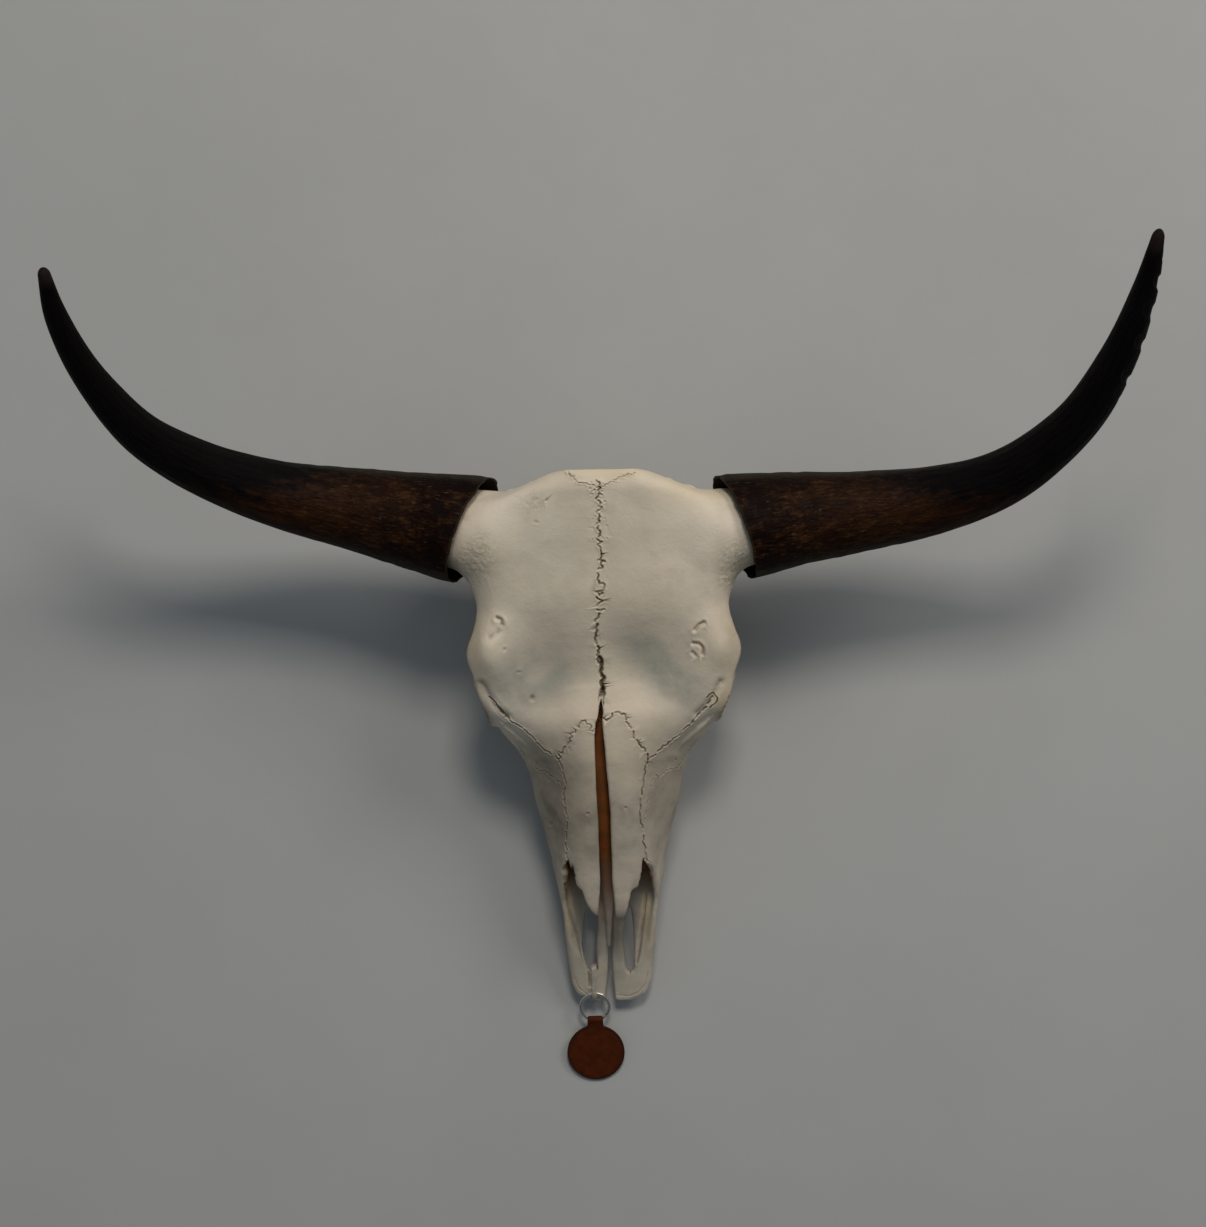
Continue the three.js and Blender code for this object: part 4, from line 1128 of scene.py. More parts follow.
def lip_shares(horn, angles):
    """Where the lines that run along a horn's surface meet the slanting, ragged edge of its mouth."""
    shares = np.linspace(0, MOUTH_BEFORE, 2400)[:, None] * np.ones(len(angles))
    centre, radius, up, side, _ = horn_frame(horn, shares)
    out = up * np.cos(angles)[:, None] + side * np.sin(angles)[:, None]
    around = np.stack([np.cos(angles), np.sin(angles)], axis=1) * 44
    ragged = 1.1 * noise(around, 11, 31) + 0.5 * noise(around, 3.6, 32)
    beyond = beyond_mouth(horn, centre + radius[..., None] * out) + ragged
    return shares[np.argmax(beyond < 0, axis=0), 0]


def horn_relief(turn, reach, share, from_lip, radius):
    """Growth rings near the base, lengthwise fibres and a slight waviness, in millimetres."""

    def unrolled(around, stretch, size, seed):
        at = np.concatenate([turn * around, reach[..., None] / stretch], axis=-1).reshape(-1, 3)
        return noise(at, size, seed).reshape(share.shape)

    rise = 0.42 * unrolled(5, 1, 8, 21) * smoothstep(0.62, 0.2, share)
    for height, *wave in WAVES:
        rise += height * unrolled(*wave)
    worn = 0.5 + 0.5 * unrolled(30, 1, 9, 25)
    rise -= 0.9 * worn * smoothstep(16, 0, from_lip)
    return rise * np.clip(radius / 18, 0.3, 1)


def sheath_shares(lip):
    """The shares of a horn's length at which the rings lie along each line round it, from the tip to the
    mouth and back up the hollow."""
    run = np.linspace(0, 1, SHEATH_ROWS)[:, None]
    outer = lip + (1 - lip) * (1 - (1 - run) ** 1.2)
    inner = lip + (HOLLOW_REACH - lip) * np.linspace(0, 1, HOLLOW_ROWS)[:, None]
    return np.vstack([outer[::-1], inner])


def chipped(size, plan, chips):
    """The radius with the chips taken out of it, for places seen from above."""
    for middle, reach, depth in chips:
        gap = np.linalg.norm(plan - np.array(middle, float), axis=-1)
        size = size - depth * smoothstep(1.5 * reach, 0.75 * reach, gap)
    return size


def sheath(horn, outward_turn, chips, flat_tip):
    """A hollow horn with the measures that its material reads. outward_turn is the sign that turns its
    direction to the outside of its bend, seen from above."""
    angles = np.arange(SHEATH_AROUND) / SHEATH_AROUND * 2 * np.pi
    lip = lip_shares(horn, angles)
    share = sheath_shares(lip)
    hollow = np.zeros(share.shape)
    hollow[SHEATH_ROWS:] = 1
    length = np.linalg.norm(np.diff(horn_path(horn)[0], axis=0), axis=1).sum()
    centre, radius, up, side, along = horn_frame(horn, share)
    from_lip = (share - lip) * length
    cos, sin = np.cos(angles) * np.ones(share.shape), np.sin(angles) * np.ones(share.shape)
    turn = np.stack([cos, sin], axis=-1)
    out = up * cos[..., None] + side * sin[..., None]
    outside = outward_turn * (along[..., 0] * out[..., 1] - along[..., 1] * out[..., 0])
    size = radius + horn_relief(turn, share * length, share, from_lip, radius)
    tip = np.clip((share - TIP_FROM) / TIP_LENGTH, 0, 1)
    size *= np.sqrt(1 - 0.99 * tip**2)
    size = chipped(size, (centre + radius[..., None] * out)[..., :2], chips)
    within = hollow_radius(radius, share) * np.sqrt(1 - np.clip((share - 0.62) / 0.041, 0, 0.995) ** 2)
    at_lip = size[SHEATH_ROWS - 1] - LIP
    thick = smoothstep(0, 26, from_lip)
    size = np.where(hollow > 0, at_lip * (1 - thick) + within * thick, size)
    flat = 1 - flat_tip * smoothstep(0.945, 0.985, share)
    rings = centre + size[..., None] * (up * (cos * flat)[..., None] + side * sin[..., None])
    points, faces = from_rings(rings)

    def per_point(values):
        return np.concatenate([values.ravel(), [values[0].mean(), values[-1].mean()]])

    measures = {
        "share": per_point(share), "from_lip": per_point(from_lip), "outside": per_point(outside),
        "hollow": per_point(hollow),
        "fibre": np.column_stack([per_point(cos), per_point(sin), per_point(share * length / 30)])}
    return points, faces, measures


# Teeth

ROOT_TOP = 46


def grinding_relief(x, y, length, width, rim):
    """Height of the worn face above the table: low ridges of enamel round hollowed dentine."""
    lobes = (0,) if length < 18.5 else (-length / 4, length / 4)
    ridge = bump(rim, 0.9)
    for lobe in lobes:
        reach = length * (0.2 if len(lobes) == 1 else 0.13)
        crescent = np.hypot((x + 0.06 * width) / (0.2 * width), (y - lobe) / reach)
        ridge = np.maximum(ridge, 0.8 * bump((crescent - 1) * 0.16 * width, 0.7))
    return 1.7 * (1 - ridge)


def tooth(middle, length, width):
    """A cheek tooth in place. Molars have two lobes with an upright groove between them, and every tooth has
    fainter grooves on its cheek side."""
    section = super_circle(60, 3) * (width / 2, length / 2)
    x, y = section.T
    cheek_side = (np.sign(x) == np.sign(middle[0])) & (np.abs(x) > 0.3 * width)
    groove = 0.17 * bump(y, length * 0.08) if length > 18.5 else 0 * y
    faint = 0.06 * (bump(y - 0.26 * length, length * 0.06) + bump(y + 0.26 * length, length * 0.06))
    pinch = (groove + cheek_side * faint) * (np.abs(x) > 0.2 * width)
    heights = np.concatenate([[0.5, 1.2, 2.2], np.arange(4, ROOT_TOP, 3.5), [ROOT_TOP]])
    scales = np.interp(heights, [0, 0.5, 1.2, 2.2, 8, ROOT_TOP], [0.9, 0.93, 0.95, 0.965, 1, 0.88])
    rings, wear = [], []
    for share in np.linspace(0.04, 0.97, 13):
        outline = section * 0.92 * share
        outline[:, 0] *= 1 - pinch
        rim = (1 - share) * width / 2
        z = grinding_relief(*outline.T, length, width, rim)
        rings.append(np.column_stack([outline, z]))
        wear.append(np.clip(z / 1.2, 0, 1))
    for z, scale in zip(heights, scales):
        outline = section * scale
        outline[:, 0] *= 1 - pinch * smoothstep(40, 10, z)
        rings.append(np.column_stack([outline, np.full(len(outline), z)]))
        wear.append(np.zeros(len(outline)))
    points, faces = from_rings(np.array(rings) + np.array([middle[0], middle[1], 0]))
    return points, faces, {"wear": np.concatenate([np.ravel(wear), [1, 0]])}


# The tie, the split ring and the leather fob

RING = dict(outer=28.5, section=2.2, x=-16, tilt=math.radians(20))
RING_TOP = np.array([RING["x"], 6.2, 22.4])
RING_RADIUS = (RING["outer"] - RING["section"]) / 2
RING_DOWN = np.array([0, -math.cos(RING["tilt"]), -math.sin(RING["tilt"])])
RING_AXIS = np.array([0, math.sin(RING["tilt"]), -math.cos(RING["tilt"])])
WIRE = dict(half_width=1.5, half_height=0.52, squareness=2.2, around=20)
EYE = dict(long=3, high=1.75)
EYE_CENTRE = RING_TOP + RING_DOWN * (2 * RING_RADIUS - 1)
TAG = dict(diameter=53, thickness=3.2, strap=14.5, leather=1.6, neck=6.4)
TAG_REACH = TAG["diameter"] / 2 + TAG["neck"]
SEAM_INSET = 2.4  # from the edge of the leather to its line of stitches
TIE_BAND, TIE_WIDTH, TIE_HEAD = 1.2, 4.6, (6.4, 7, 4)


def split_ring():
    """Two turns of flat-sided wire side by side, which step across where the ends overlap."""
    count = 300
    angle = np.linspace(0.06, 4 * np.pi - 0.06, count) + 0.7
    centre = RING_TOP + RING_DOWN * RING_RADIUS
    sideways = np.array([1.0, 0, 0])
    radial = np.cos(angle)[:, None] * sideways + np.sin(angle)[:, None] * RING_DOWN
    step = 0.54 * np.tanh((angle - 0.7 - 2 * np.pi) * 4)
    route = centre + radial * RING_RADIUS + step[:, None] * RING_AXIS
    ends = np.minimum(np.arange(count), np.arange(count)[::-1])
    taper = 0.62 + 0.38 * smoothstep(0, 4, ends)
    axial = np.broadcast_to(RING_AXIS, radial.shape)
    width, height = WIRE["half_width"] * taper, WIRE["half_height"] * taper
    rings = swept(route, radial, axial, width, height, WIRE["squareness"], WIRE["around"])
    # Painted shade: a dark line down the middle of the wire, standing in for the shade between two turns of
    # wire.
    groove = np.tile(bump(super_circle(WIRE["around"], WIRE["squareness"])[:, 0], 0.25), count)
    return *from_rings(rings), {"groove": np.concatenate([groove, [0, 0]])}


def tie():
    """A flat ribbed band drawn round the bone and the ring, with its lock and its cut end underneath."""
    flat = [
        [31.4, 31.4], [26, 30.6], [19, 28.4], [11, 26.2], [6.4, 25], [2.6, 22.2], [-0.9, 16.8],
        [-0.4, 11.6], [5, 9.2], [16, 9.4], [26, 11.8], [32.6, 17], [33.6, 25]]
    line = spline(flat, 24, closed=True)
    route = np.column_stack([np.full(len(line), RING["x"]), line])
    along = unit(np.roll(route, -1, axis=0) - np.roll(route, 1, axis=0))
    wide = np.broadcast_to([1.0, 0, 0], along.shape)
    thick = np.cross(along, wide)
    ribs = 0.02 * (np.arange(len(route)) % 4 < 2)
    band = from_rings(swept(route, wide, thick, TIE_WIDTH / 2, TIE_BAND / 2 - ribs, 7, 20), loop=True)
    head_middle = np.array([RING["x"], 14, 6.6])
    long, wide_head, high = np.array(TIE_HEAD)[[1, 0, 2]] / 2
    levels = np.array([-1, -0.97, -0.82, 0.82, 0.97, 1]) * high
    size = np.array([0.86, 0.94, 1, 1, 0.94, 0.86])
    section = super_circle(32, 7) * (wide_head, long)
    lock = from_rings(np.array([
        np.column_stack([section * s, np.full(32, z)]) + head_middle for s, z in zip(size, levels)]))
    tail_route = np.array([[RING["x"], y, 9.4 - 0.02 * (y - 14) ** 2] for y in np.linspace(16, 9.6, 9)])
    square = np.broadcast_to([1.0, 0, 0], tail_route.shape)
    upright = np.broadcast_to([0, 0, 1.0], tail_route.shape)
    tail = from_rings(swept(tail_route, square, upright, TIE_WIDTH / 2 - 0.1, 0.5, 7, 16))
    return merged([(*band, {}), (*lock, {}), (*tail, {})])


def from_tag(points):
    """Takes points about the middle of the round leather, with y towards its eye, to where it hangs."""
    length = TAG_REACH + TAG["diameter"] / 2
    slope = math.asin((EYE_CENTRE[2] - TAG["thickness"] / 2) / length)
    turn = np.array(Matrix.Rotation(slope, 3, "X"))
    return (points - (0, TAG_REACH, 0)) @ turn.T + EYE_CENTRE


def tag_layer(top):
    """One of the two layers of leather: a disc with a short strap, domed a little, with a sewing groove round
    it and a burnished edge."""
    around = 220
    angle = np.arange(around) / around * 2 * np.pi
    direction = np.stack([np.sin(angle), np.cos(angle)], axis=1)
    radius, half_strap = TAG["diameter"] / 2, TAG["strap"] / 2
    strap_end = TAG_REACH - 1.5
    to_side = half_strap / np.maximum(np.abs(direction[:, 0]), 1e-6)
    to_end = strap_end / np.maximum(direction[:, 1], 1e-6)
    on_strap = (direction[:, 1] > 0) & (np.minimum(to_side, to_end) > radius)
    reach = np.where(on_strap, np.minimum(to_side, to_end), radius)
    half = TAG["thickness"] / 2
    rings, edge = [], []

    def add(share, z, is_edge):
        flat = direction * (reach * share)[:, None]
        rings.append(np.column_stack([flat, np.broadcast_to(z, around)]))
        edge.append(np.full(around, is_edge))

    for share in np.linspace(0.02, 0.955, 40):
        flat = direction * (reach * share)[:, None]
        inset = radius - np.linalg.norm(flat, axis=1)
        groove = 0.28 * bump(inset - SEAM_INSET, 0.55) * (np.abs(flat[:, 0]) < radius) * (inset > 0)
        grain = 0.1 * noise(flat, 2.1, 41) + 0.12 * noise(flat, 6.5, 42)
        worn = 0.12 * smoothstep(2.2, 0.4, inset)
        add(share, half - 0.12 - groove + grain - worn, smoothstep(2.3, 0.7, inset).mean())
    rim_levels = [(0.985, half - 0.28), (0.997, half - 0.6), (1.0, 0.75), (0.998, 0.4), (0.988, 0.12),
                  (0.965, 0.04)]
    for share, z in rim_levels:
        add(share, z, 1)
    for share in (0.5, 0.02):
        add(share, 0.03, 0)
    flat_rings = np.array(rings)
    if not top:
        flat_rings = flat_rings * (1, 1, -1)
    points, faces = from_rings(flat_rings)
    tone = np.concatenate([np.ravel(edge), [0, 0]])
    return from_tag(points), faces, {"edge": tone, "thread": 0.0}


def tag_fold():
    """The end of the strap, folded over the ring and sewn back on itself."""
    long, high = EYE["long"] - 1 + TAG["leather"] / 2, EYE["high"] + TAG["leather"] / 2
    angle = np.linspace(-0.82 * np.pi, 0.82 * np.pi, 60)
    loop = np.column_stack([TAG_REACH - 1 + long * np.cos(angle), high * np.sin(angle)])
    start = [[TAG_REACH - 9.5, -0.95], [TAG_REACH - 6, -1.2]]
    line = resampled(spline(np.vstack([start, loop[::6], [[y, -z] for y, z in start[::-1]]]), 10), 90)
    route = np.column_stack([np.zeros(len(line)), line])
    along = unit(np.gradient(route, axis=0))
    wide = np.broadcast_to([1.0, 0, 0], along.shape)
    half_width, half_thick = TAG["strap"] / 2 - 0.1, TAG["leather"] / 2 - 0.08
    rings = swept(route, wide, np.cross(along, wide), half_width, half_thick, 6, 24)
    points, faces = from_rings(rings)
    return from_tag(points), faces, {"edge": np.full(len(points), 0.25), "thread": 0.0}


def stitch(middle, angle, long, z):
    """One stitch of dark thread, lying along `angle` in the leather's groove."""
    steps = np.linspace(-1, 1, 7)
    route = np.column_stack([
        middle[0] + steps * long / 2 * math.cos(angle), middle[1] + steps * long / 2 * math.sin(angle),
        z - 0.22 * np.abs(steps) ** 3 * np.sign(z)])
    wide = np.tile([-math.sin(angle), math.cos(angle), 0], (7, 1))
    up = np.tile([0, 0, 1.0], (7, 1))
    thin = 0.32 * np.sqrt(1.02 - steps**2)
    points, faces = from_rings(swept(route, wide, up, thin, thin * 0.8, 2, 8))
    return from_tag(points), faces, {"edge": 0.0, "thread": 1.0}


def leather_tag():
    parts = [tag_layer(True), tag_layer(False), tag_fold()]
    radius = TAG["diameter"] / 2 - SEAM_INSET
    count = 56
    for face in (1, -1):
        for k in range(count):
            turn = 2 * math.pi * (k + 0.5) / count
            middle = (radius * math.sin(turn), radius * math.cos(turn))
            parts.append(stitch(middle, -turn, 1.8, face * 1.34))
    for face in (1, -1):
        for x in (-3, -1, 1, 3):
            parts.append(stitch((x, TAG_REACH - 7.6), 0.12, 1.5, face * 1.7))
    return merged(parts)


# Materials


def paint(red, green, blue):
    """A colour from 0 to 255 a channel, as a screen shows it."""
    part = np.array([red, green, blue]) / 255
    linear = np.where(part <= 0.04045, part / 12.92, ((part + 0.055) / 1.055) ** 2.4)
    return (*linear.tolist(), 1.0)


class Finish:
    """A material under construction: its methods add nodes and return the sockets that they end in."""

    def __init__(self, name, constants=()):
        self.material = bpy.data.materials.new(name)
        self.material.use_nodes = True
        self.tree = self.material.node_tree
        self.surface = self.tree.nodes["Principled BSDF"]
        for socket, value in dict(constants).items():
            self.surface.inputs[socket].default_value = value
        self.place = self.add("ShaderNodeTexCoord").outputs["Object"]

    def add(self, kind, inputs=(), **settings):
        node = self.tree.nodes.new(kind)
        for key, value in settings.items():
            setattr(node, key, value)
        for key, value in dict(inputs).items():
            if isinstance(value, bpy.types.NodeSocket):
                self.tree.links.new(value, node.inputs[key])
            else:
                node.inputs[key].default_value = value
        return node

    def measure(self, name):
        return self.add("ShaderNodeAttribute", attribute_name=name).outputs["Fac"]

    def vector(self, name, scale):
        read = self.add("ShaderNodeAttribute", attribute_name=name).outputs["Vector"]
        return self.add("ShaderNodeMapping", {"Vector": read, "Scale": scale}).outputs["Vector"]

    def noise(self, scale, detail=4.0, roughness=0.55, at=None):
        inputs = {"Vector": at or self.place, "Scale": scale, "Detail": detail, "Roughness": roughness}
        return self.add("ShaderNodeTexNoise", inputs).outputs["Fac"]

    def ranged(self, value, low, high, to_low=0.0, to_high=1.0):
        inputs = {"Value": value, "From Min": low, "From Max": high, "To Min": to_low, "To Max": to_high}
        return self.add("ShaderNodeMapRange", inputs, interpolation_type="SMOOTHSTEP").outputs["Result"]

    def maths(self, operation, a, b=0.0):
        clamp = operation == "MULTIPLY"
        return self.add("ShaderNodeMath", {0: a, 1: b}, operation=operation, use_clamp=clamp).outputs["Value"]

    def mix(self, factor, a, b, blend="MIX"):
        node = self.add("ShaderNodeMix", {0: factor, 6: a, 7: b}, data_type="RGBA", blend_type=blend)
        return node.outputs[2]

    def relief(self, height, distance, normal=None):
        inputs = {"Height": height, "Distance": distance, "Strength": 1.0}
        if normal:
            inputs["Normal"] = normal
        return self.add("ShaderNodeBump", inputs).outputs["Normal"]

    def finish(self, **sockets):
        for socket, value in sockets.items():
            self.tree.links.new(value, self.surface.inputs[socket.replace("_", " ").title()])
        return self.material


def bone_material():
    f = Finish("bleached_bone", {"IOR": 1.5, "Specular IOR Level": 0.12})
    broad, middle, fine = f.noise(9, 5), f.noise(45, 5), f.noise(420, 3)
    colour = f.mix(f.ranged(broad, 0.35, 0.68), paint(212, 196, 171), paint(228, 213, 190))
    colour = f.mix(f.ranged(middle, 0.5, 0.78, 0, 0.4), colour, paint(194, 177, 150))
    clouds = f.ranged(f.noise(28, 4, 0.6), 0.3, 0.62, 0.6, 1)
    # Painted shade: grey patches that stand in for the shade in the forehead's dish and on faces turned from
    # the light.
    colour = f.mix(f.maths("MULTIPLY", f.measure("painted_grey_shade"), clouds), colour, paint(158, 153, 138))
    # Painted shade: the snout and its sides are darkened with bluish grey, as if they faced away from the
    # light.
    colour = f.mix(f.maths("MULTIPLY", f.measure("painted_snout_shade"), f.ranged(middle, 0.3, 0.7, 0.75, 1)),
                   colour, paint(160, 160, 162), "MULTIPLY")
    # Painted shade: brown on the outer bone under the brow.
    colour = f.mix(f.measure("painted_brow_shade"), colour, paint(126, 103, 76))
    colour = f.mix(f.maths("MULTIPLY", f.measure("warm"), f.ranged(broad, 0.3, 0.7, 0.2, 0.6)),
                   colour, paint(208, 184, 140))
    colour = f.mix(f.maths("MULTIPLY", f.measure("rough"), f.ranged(fine, 0.4, 0.65, 0.1, 0.7)),
                   colour, paint(176, 163, 136))
    colour = f.mix(f.maths("MULTIPLY", f.measure("core"), f.ranged(middle, 0.2, 0.7, 0.55, 1)),
                   colour, paint(120, 100, 74))
    # Painted glow: strong orange-brown on the airway's walls, in place of light shining through the thin bone.
    inside = f.mix(f.ranged(f.noise(60, 4), 0.3, 0.7), paint(134, 68, 2), paint(108, 58, 4))
    colour = f.mix(f.maths("MULTIPLY", f.measure("inside"), 0.95), colour, inside)
    come_apart = f.ranged(f.measure("seam"), 1, 1.4)
    broken = f.maths("MAXIMUM", f.ranged(f.noise(170, 2), 0.36, 0.58, 0.35, 1), come_apart)
    colour = f.mix(f.maths("MULTIPLY", f.ranged(f.measure("seam"), 0.15, 0.8, 0, 0.84), broken),
                   colour, paint(84, 62, 40))
    pores = f.add("ShaderNodeTexVoronoi", {"Vector": f.place, "Scale": 900.0}).outputs["Distance"]
    porous = f.maths("MULTIPLY", f.ranged(pores, 0.1, 0.35, 1, 0), f.ranged(broad, 0.45, 0.7, 0.1, 1))
    normal = f.relief(f.noise(30, 3), 0.0012)
    normal = f.relief(fine, 0.00022, normal)
    normal = f.relief(f.maths("SUBTRACT", 1.0, porous), 0.0001, normal)
    return f.finish(base_color=colour, roughness=f.ranged(middle, 0.3, 0.7, 0.5, 0.68), normal=normal)


def horn_material():
    f = Finish("worn_horn", {"IOR": 1.5, "Specular IOR Level": 0.05})
    share, outside, from_lip = f.measure("share"), f.measure("outside"), f.measure("from_lip")
    fibres = f.noise(7, 5, 0.65, f.vector("fibre", (1, 1, 0.18)))
    threads = f.noise(20, 4, 0.65, f.vector("fibre", (1, 1, 0.14)))
    flakes = f.noise(5, 5, 0.7, f.vector("fibre", (1, 1, 0.5)))
    stains = f.noise(3, 6, 0.75, f.vector("fibre", (1, 1, 0.4)))
    colour = f.mix(f.ranged(fibres, 0.32, 0.66), paint(30, 11, 5), paint(54, 30, 11))
    colour = f.mix(f.maths("MULTIPLY", f.ranged(threads, 0.5, 0.7, 0, 0.7), f.ranged(share, 0.6, 0.35)),
                   colour, paint(82, 58, 28))
    near_mouth = f.ranged(share, 0.42, 0.1, 0.35, 1)
    colour = f.mix(f.maths("MULTIPLY", f.ranged(stains, 0.36, 0.54), near_mouth), colour, paint(14, 4, 2))
    pits = f.ranged(f.noise(15, 5, 0.7, f.vector("fibre", (1, 1, 0.45))), 0.54, 0.66)
    colour = f.mix(f.maths("MULTIPLY", pits, near_mouth), colour, paint(5, 2, 1))
    flecks = f.ranged(f.noise(24, 4, 0.65, f.vector("fibre", (1, 1, 0.12))), 0.6, 0.74, 0, 0.42)
    colour = f.mix(f.maths("MULTIPLY", flecks, f.ranged(share, 0.5, 0.3)), colour, paint(112, 97, 72))
    edge = f.maths("ADD", share, f.ranged(flakes, 0.2, 0.8, -0.07, 0.07))
    spread = f.ranged(edge, 0.26, 0.7, 1.0, -1.3)
    dark = f.ranged(f.maths("SUBTRACT", outside, spread), -0.5, 0.5)
    colour = f.mix(dark, colour, f.mix(f.ranged(fibres, 0.35, 0.65), paint(6, 4, 4), paint(13, 8, 7)))
    # Painted sheen: an olive-grey band along the horn's two side edges, seen from above, stands in for light
    # glancing off the rough horn.
    rim = f.ranged(f.maths("ABSOLUTE", outside), 0.8, 0.97, 0, 0.6)
    colour = f.mix(rim, colour, paint(46, 42, 31))
    colour = f.mix(f.ranged(share, 0.955, 0.985, 0, 0.5), colour, paint(56, 44, 37))
    colour = f.mix(f.ranged(from_lip, 2.2, 0.3, 0, 0.5), colour, paint(60, 49, 34))
    colour = f.mix(f.measure("hollow"), colour, paint(30, 21, 14))
    normal = f.relief(fibres, 0.0011)
    normal = f.relief(threads, 0.0005, normal)
    normal = f.relief(flakes, 0.0006, normal)
    return f.finish(base_color=colour, roughness=f.ranged(flakes, 0.3, 0.7, 0.46, 0.66), normal=normal)


def tooth_material():
    f = Finish("stained_enamel", {"IOR": 1.6})
    streaks = f.noise(260, 3, 0.6, f.add(
        "ShaderNodeMapping", {"Vector": f.place, "Scale": (1, 1, 0.2)}).outputs["Vector"])
    colour = f.mix(f.ranged(streaks, 0.35, 0.7), paint(206, 192, 158), paint(150, 118, 76))
    colour = f.mix(f.ranged(f.noise(120, 4), 0.5, 0.72, 0, 0.8), colour, paint(84, 60, 38))
    colour = f.mix(f.measure("wear"), colour, paint(112, 84, 54))
    normal = f.relief(streaks, 0.0004)
    return f.finish(base_color=colour, roughness=f.ranged(streaks, 0.3, 0.7, 0.28, 0.5), normal=normal)


def leather_material():
    f = Finish("saddle_leather", {"IOR": 1.45, "Specular IOR Level": 0.1})
    grain = f.add("ShaderNodeTexVoronoi", {"Vector": f.place, "Scale": 1500.0}).outputs["Distance"]
    mottle = f.noise(110, 5, 0.65)
    colour = f.mix(f.ranged(mottle, 0.32, 0.68), paint(62, 23, 2), paint(76, 31, 4))
    colour = f.mix(f.ranged(f.noise(600, 2), 0.55, 0.8, 0, 0.4), colour, paint(52, 21, 6))
    colour = f.mix(f.ranged(f.measure("edge"), 0.1, 0.9, 0, 0.9), colour, paint(42, 21, 11))
    colour = f.mix(f.measure("thread"), colour, paint(24, 14, 10))
    normal = f.relief(mottle, 0.0003)
    normal = f.relief(grain, 0.00012, normal)
    return f.finish(base_color=colour, roughness=f.ranged(mottle, 0.3, 0.7, 0.42, 0.62), normal=normal)


def steel_material():
    f = Finish("plated_steel", {"Metallic": 1.0})
    scratches = f.noise(700, 3, 0.6)
    colour = f.mix(f.ranged(f.noise(90, 4), 0.4, 0.75), paint(236, 229, 214), paint(208, 201, 188))
    # Painted shade: the dark line between the turns of the ring.
    colour = f.mix(f.maths("MULTIPLY", f.measure("groove"), 0.9), colour, paint(46, 45, 43))
    return f.finish(base_color=colour, roughness=f.ranged(scratches, 0.3, 0.7, 0.22, 0.34),
                    normal=f.relief(f.maths("SUBTRACT", 1.0, f.measure("groove")), 0.0003))


def nylon_material():
    f = Finish("natural_nylon", {"IOR": 1.53, "Subsurface Weight": 0.3, "Subsurface Scale": 0.002})
    haze = f.noise(240, 3)
    colour = f.mix(f.ranged(haze, 0.35, 0.7), paint(172, 162, 144), paint(148, 139, 124))
    return f.finish(base_color=colour, roughness=f.ranged(haze, 0.3, 0.7, 0.36, 0.52),
                    normal=f.relief(haze, 0.0001))


def floor_material():
    f = Finish("pale_floor")
    colour = f.mix(f.ranged(f.noise(3, 3), 0.3, 0.7), paint(167, 165, 160), paint(171, 169, 164))
    return f.finish(base_color=colour, roughness=f.ranged(f.noise(40, 2), 0.3, 0.7, 0.85, 0.95))


# The pieces


def add_skull():
    points, faces, measures = shaped_skull()
    parts = [(points, faces.tolist(), measures)]
    for horn in HORNS.values():
        core_points, core_faces = far_core(horn)
        core_points = core_points + 0.3 * noise(core_points, 6, 9)[:, None]
        blank = {key: 0.0 for key in measures}
        parts.append((core_points, outward(core_points, core_faces), {**blank, "core": 1.0}))
    add_piece("skull_bone", merged(parts), bone_material(), ["skull"])


def add_horns():
    material = horn_material()
    for side, turn, chips, flat_tip in (("left", -1, [], 0.0), ("right", 1, CHIPS, 0.22)):
        mesh = sheath(HORNS[side], turn, chips, flat_tip)
        add_piece(f"sheath_{side}", mesh, material, [f"horn_sheath_{side}"])


def add_teeth():
    material = tooth_material()
    for name, middle, length, width in tooth_places():
        add_piece(f"tooth_{name}", tooth(middle, length, width), material, [name], sharp=50)


def add_fob():
    add_piece("tie_band", tie(), nylon_material(), ["tie"], sharp=35)
    add_piece("coiled_ring", split_ring(), steel_material(), ["split_ring"], sharp=50)
    add_piece("leather_fob", leather_tag(), leather_material(), ["leather_tag"], sharp=60)


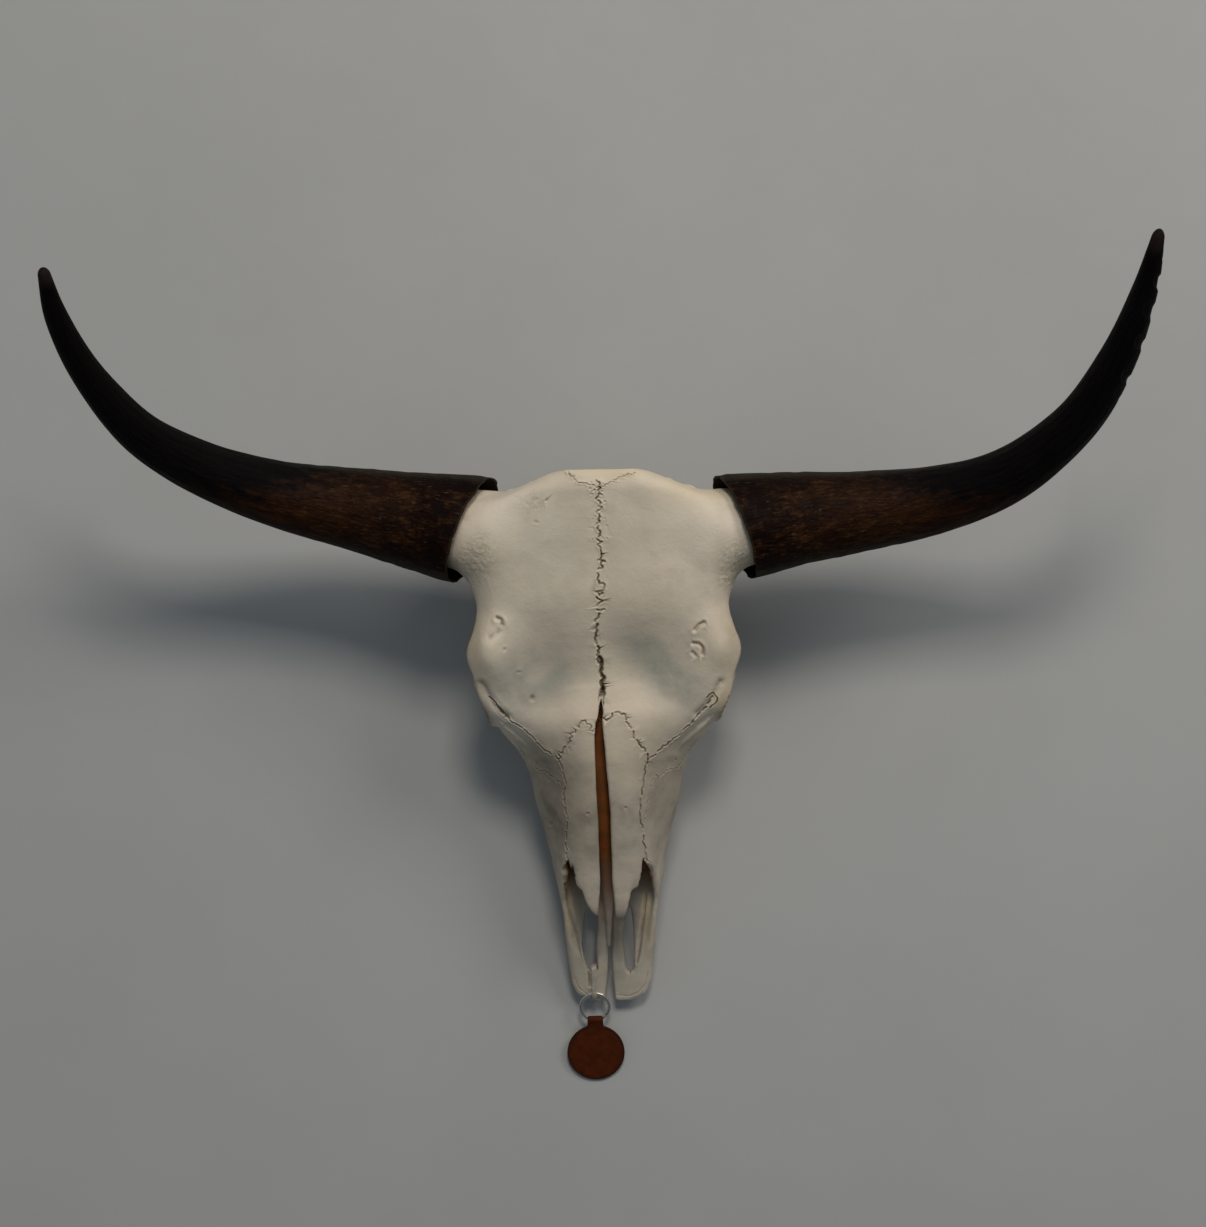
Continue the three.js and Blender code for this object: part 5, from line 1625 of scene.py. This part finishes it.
FLOOR_REACH, FLOOR_TOP = 4, -0.0004  # in metres; its top lies just under the object
LAMP_TINT = (1.0, 0.96, 0.92)
LAMPS_FACE = (0, 300, 120)
SKY_TINT = (0.76, 0.9, 1.05, 1)


def add_floor():
    corners = [(-1, -1), (1, -1), (1, 1), (-1, 1)]
    points = np.array([[FLOOR_REACH * x, FLOOR_REACH * y, FLOOR_TOP] for x, y in corners])
    mesh = new_mesh("floor", points, [[0, 1, 2, 3]])
    mesh.materials.append(floor_material())
    floor = placed("floor", mesh)


def add_light(name, at, size, power):
    """A soft square lamp that faces the middle of the object."""
    lamp = bpy.data.lights.new(name, "AREA")
    lamp.size = size
    lamp.energy = power
    lamp.color = LAMP_TINT
    light = placed(name, lamp)
    light.location = to_metres(at)
    aim = Vector(to_metres(LAMPS_FACE)) - light.location
    light.rotation_euler = aim.to_track_quat("-Z", "Y").to_euler()


def add_lights():
    add_light("window", (200, 2100, 3000), 0.7, 44)
    add_light("second_window", (1650, 1850, 2200), 1.0, 22)
    bpy.context.scene.view_settings.view_transform = "Standard"


BRIGHTEST = (0, 0.4, 0.92)  # the direction that most of the room's light comes from


def add_room():
    """The pale light of a room, which fades from above and from the window's side down to the horizon."""
    world = bpy.context.scene.world or bpy.data.worlds.new("world")
    bpy.context.scene.world = world
    world.use_nodes = True
    nodes, links = world.node_tree.nodes, world.node_tree.links
    direction = nodes.new("ShaderNodeTexCoord").outputs["Generated"]
    toward = nodes.new("ShaderNodeVectorMath")
    toward.operation = "DOT_PRODUCT"
    toward.inputs[1].default_value = BRIGHTEST
    links.new(direction, toward.inputs[0])
    fade = nodes.new("ShaderNodeMapRange")
    for socket, value in {"From Min": -0.3, "From Max": 1, "To Min": 0.05, "To Max": 0.31}.items():
        fade.inputs[socket].default_value = value
    links.new(toward.outputs["Value"], fade.inputs["Value"])
    sky = nodes["Background"]
    sky.inputs["Color"].default_value = SKY_TINT
    links.new(fade.outputs["Result"], sky.inputs["Strength"])


add_camera()
add_skull()
add_horns()
add_teeth()
add_fob()
add_floor()
add_lights()
add_room()
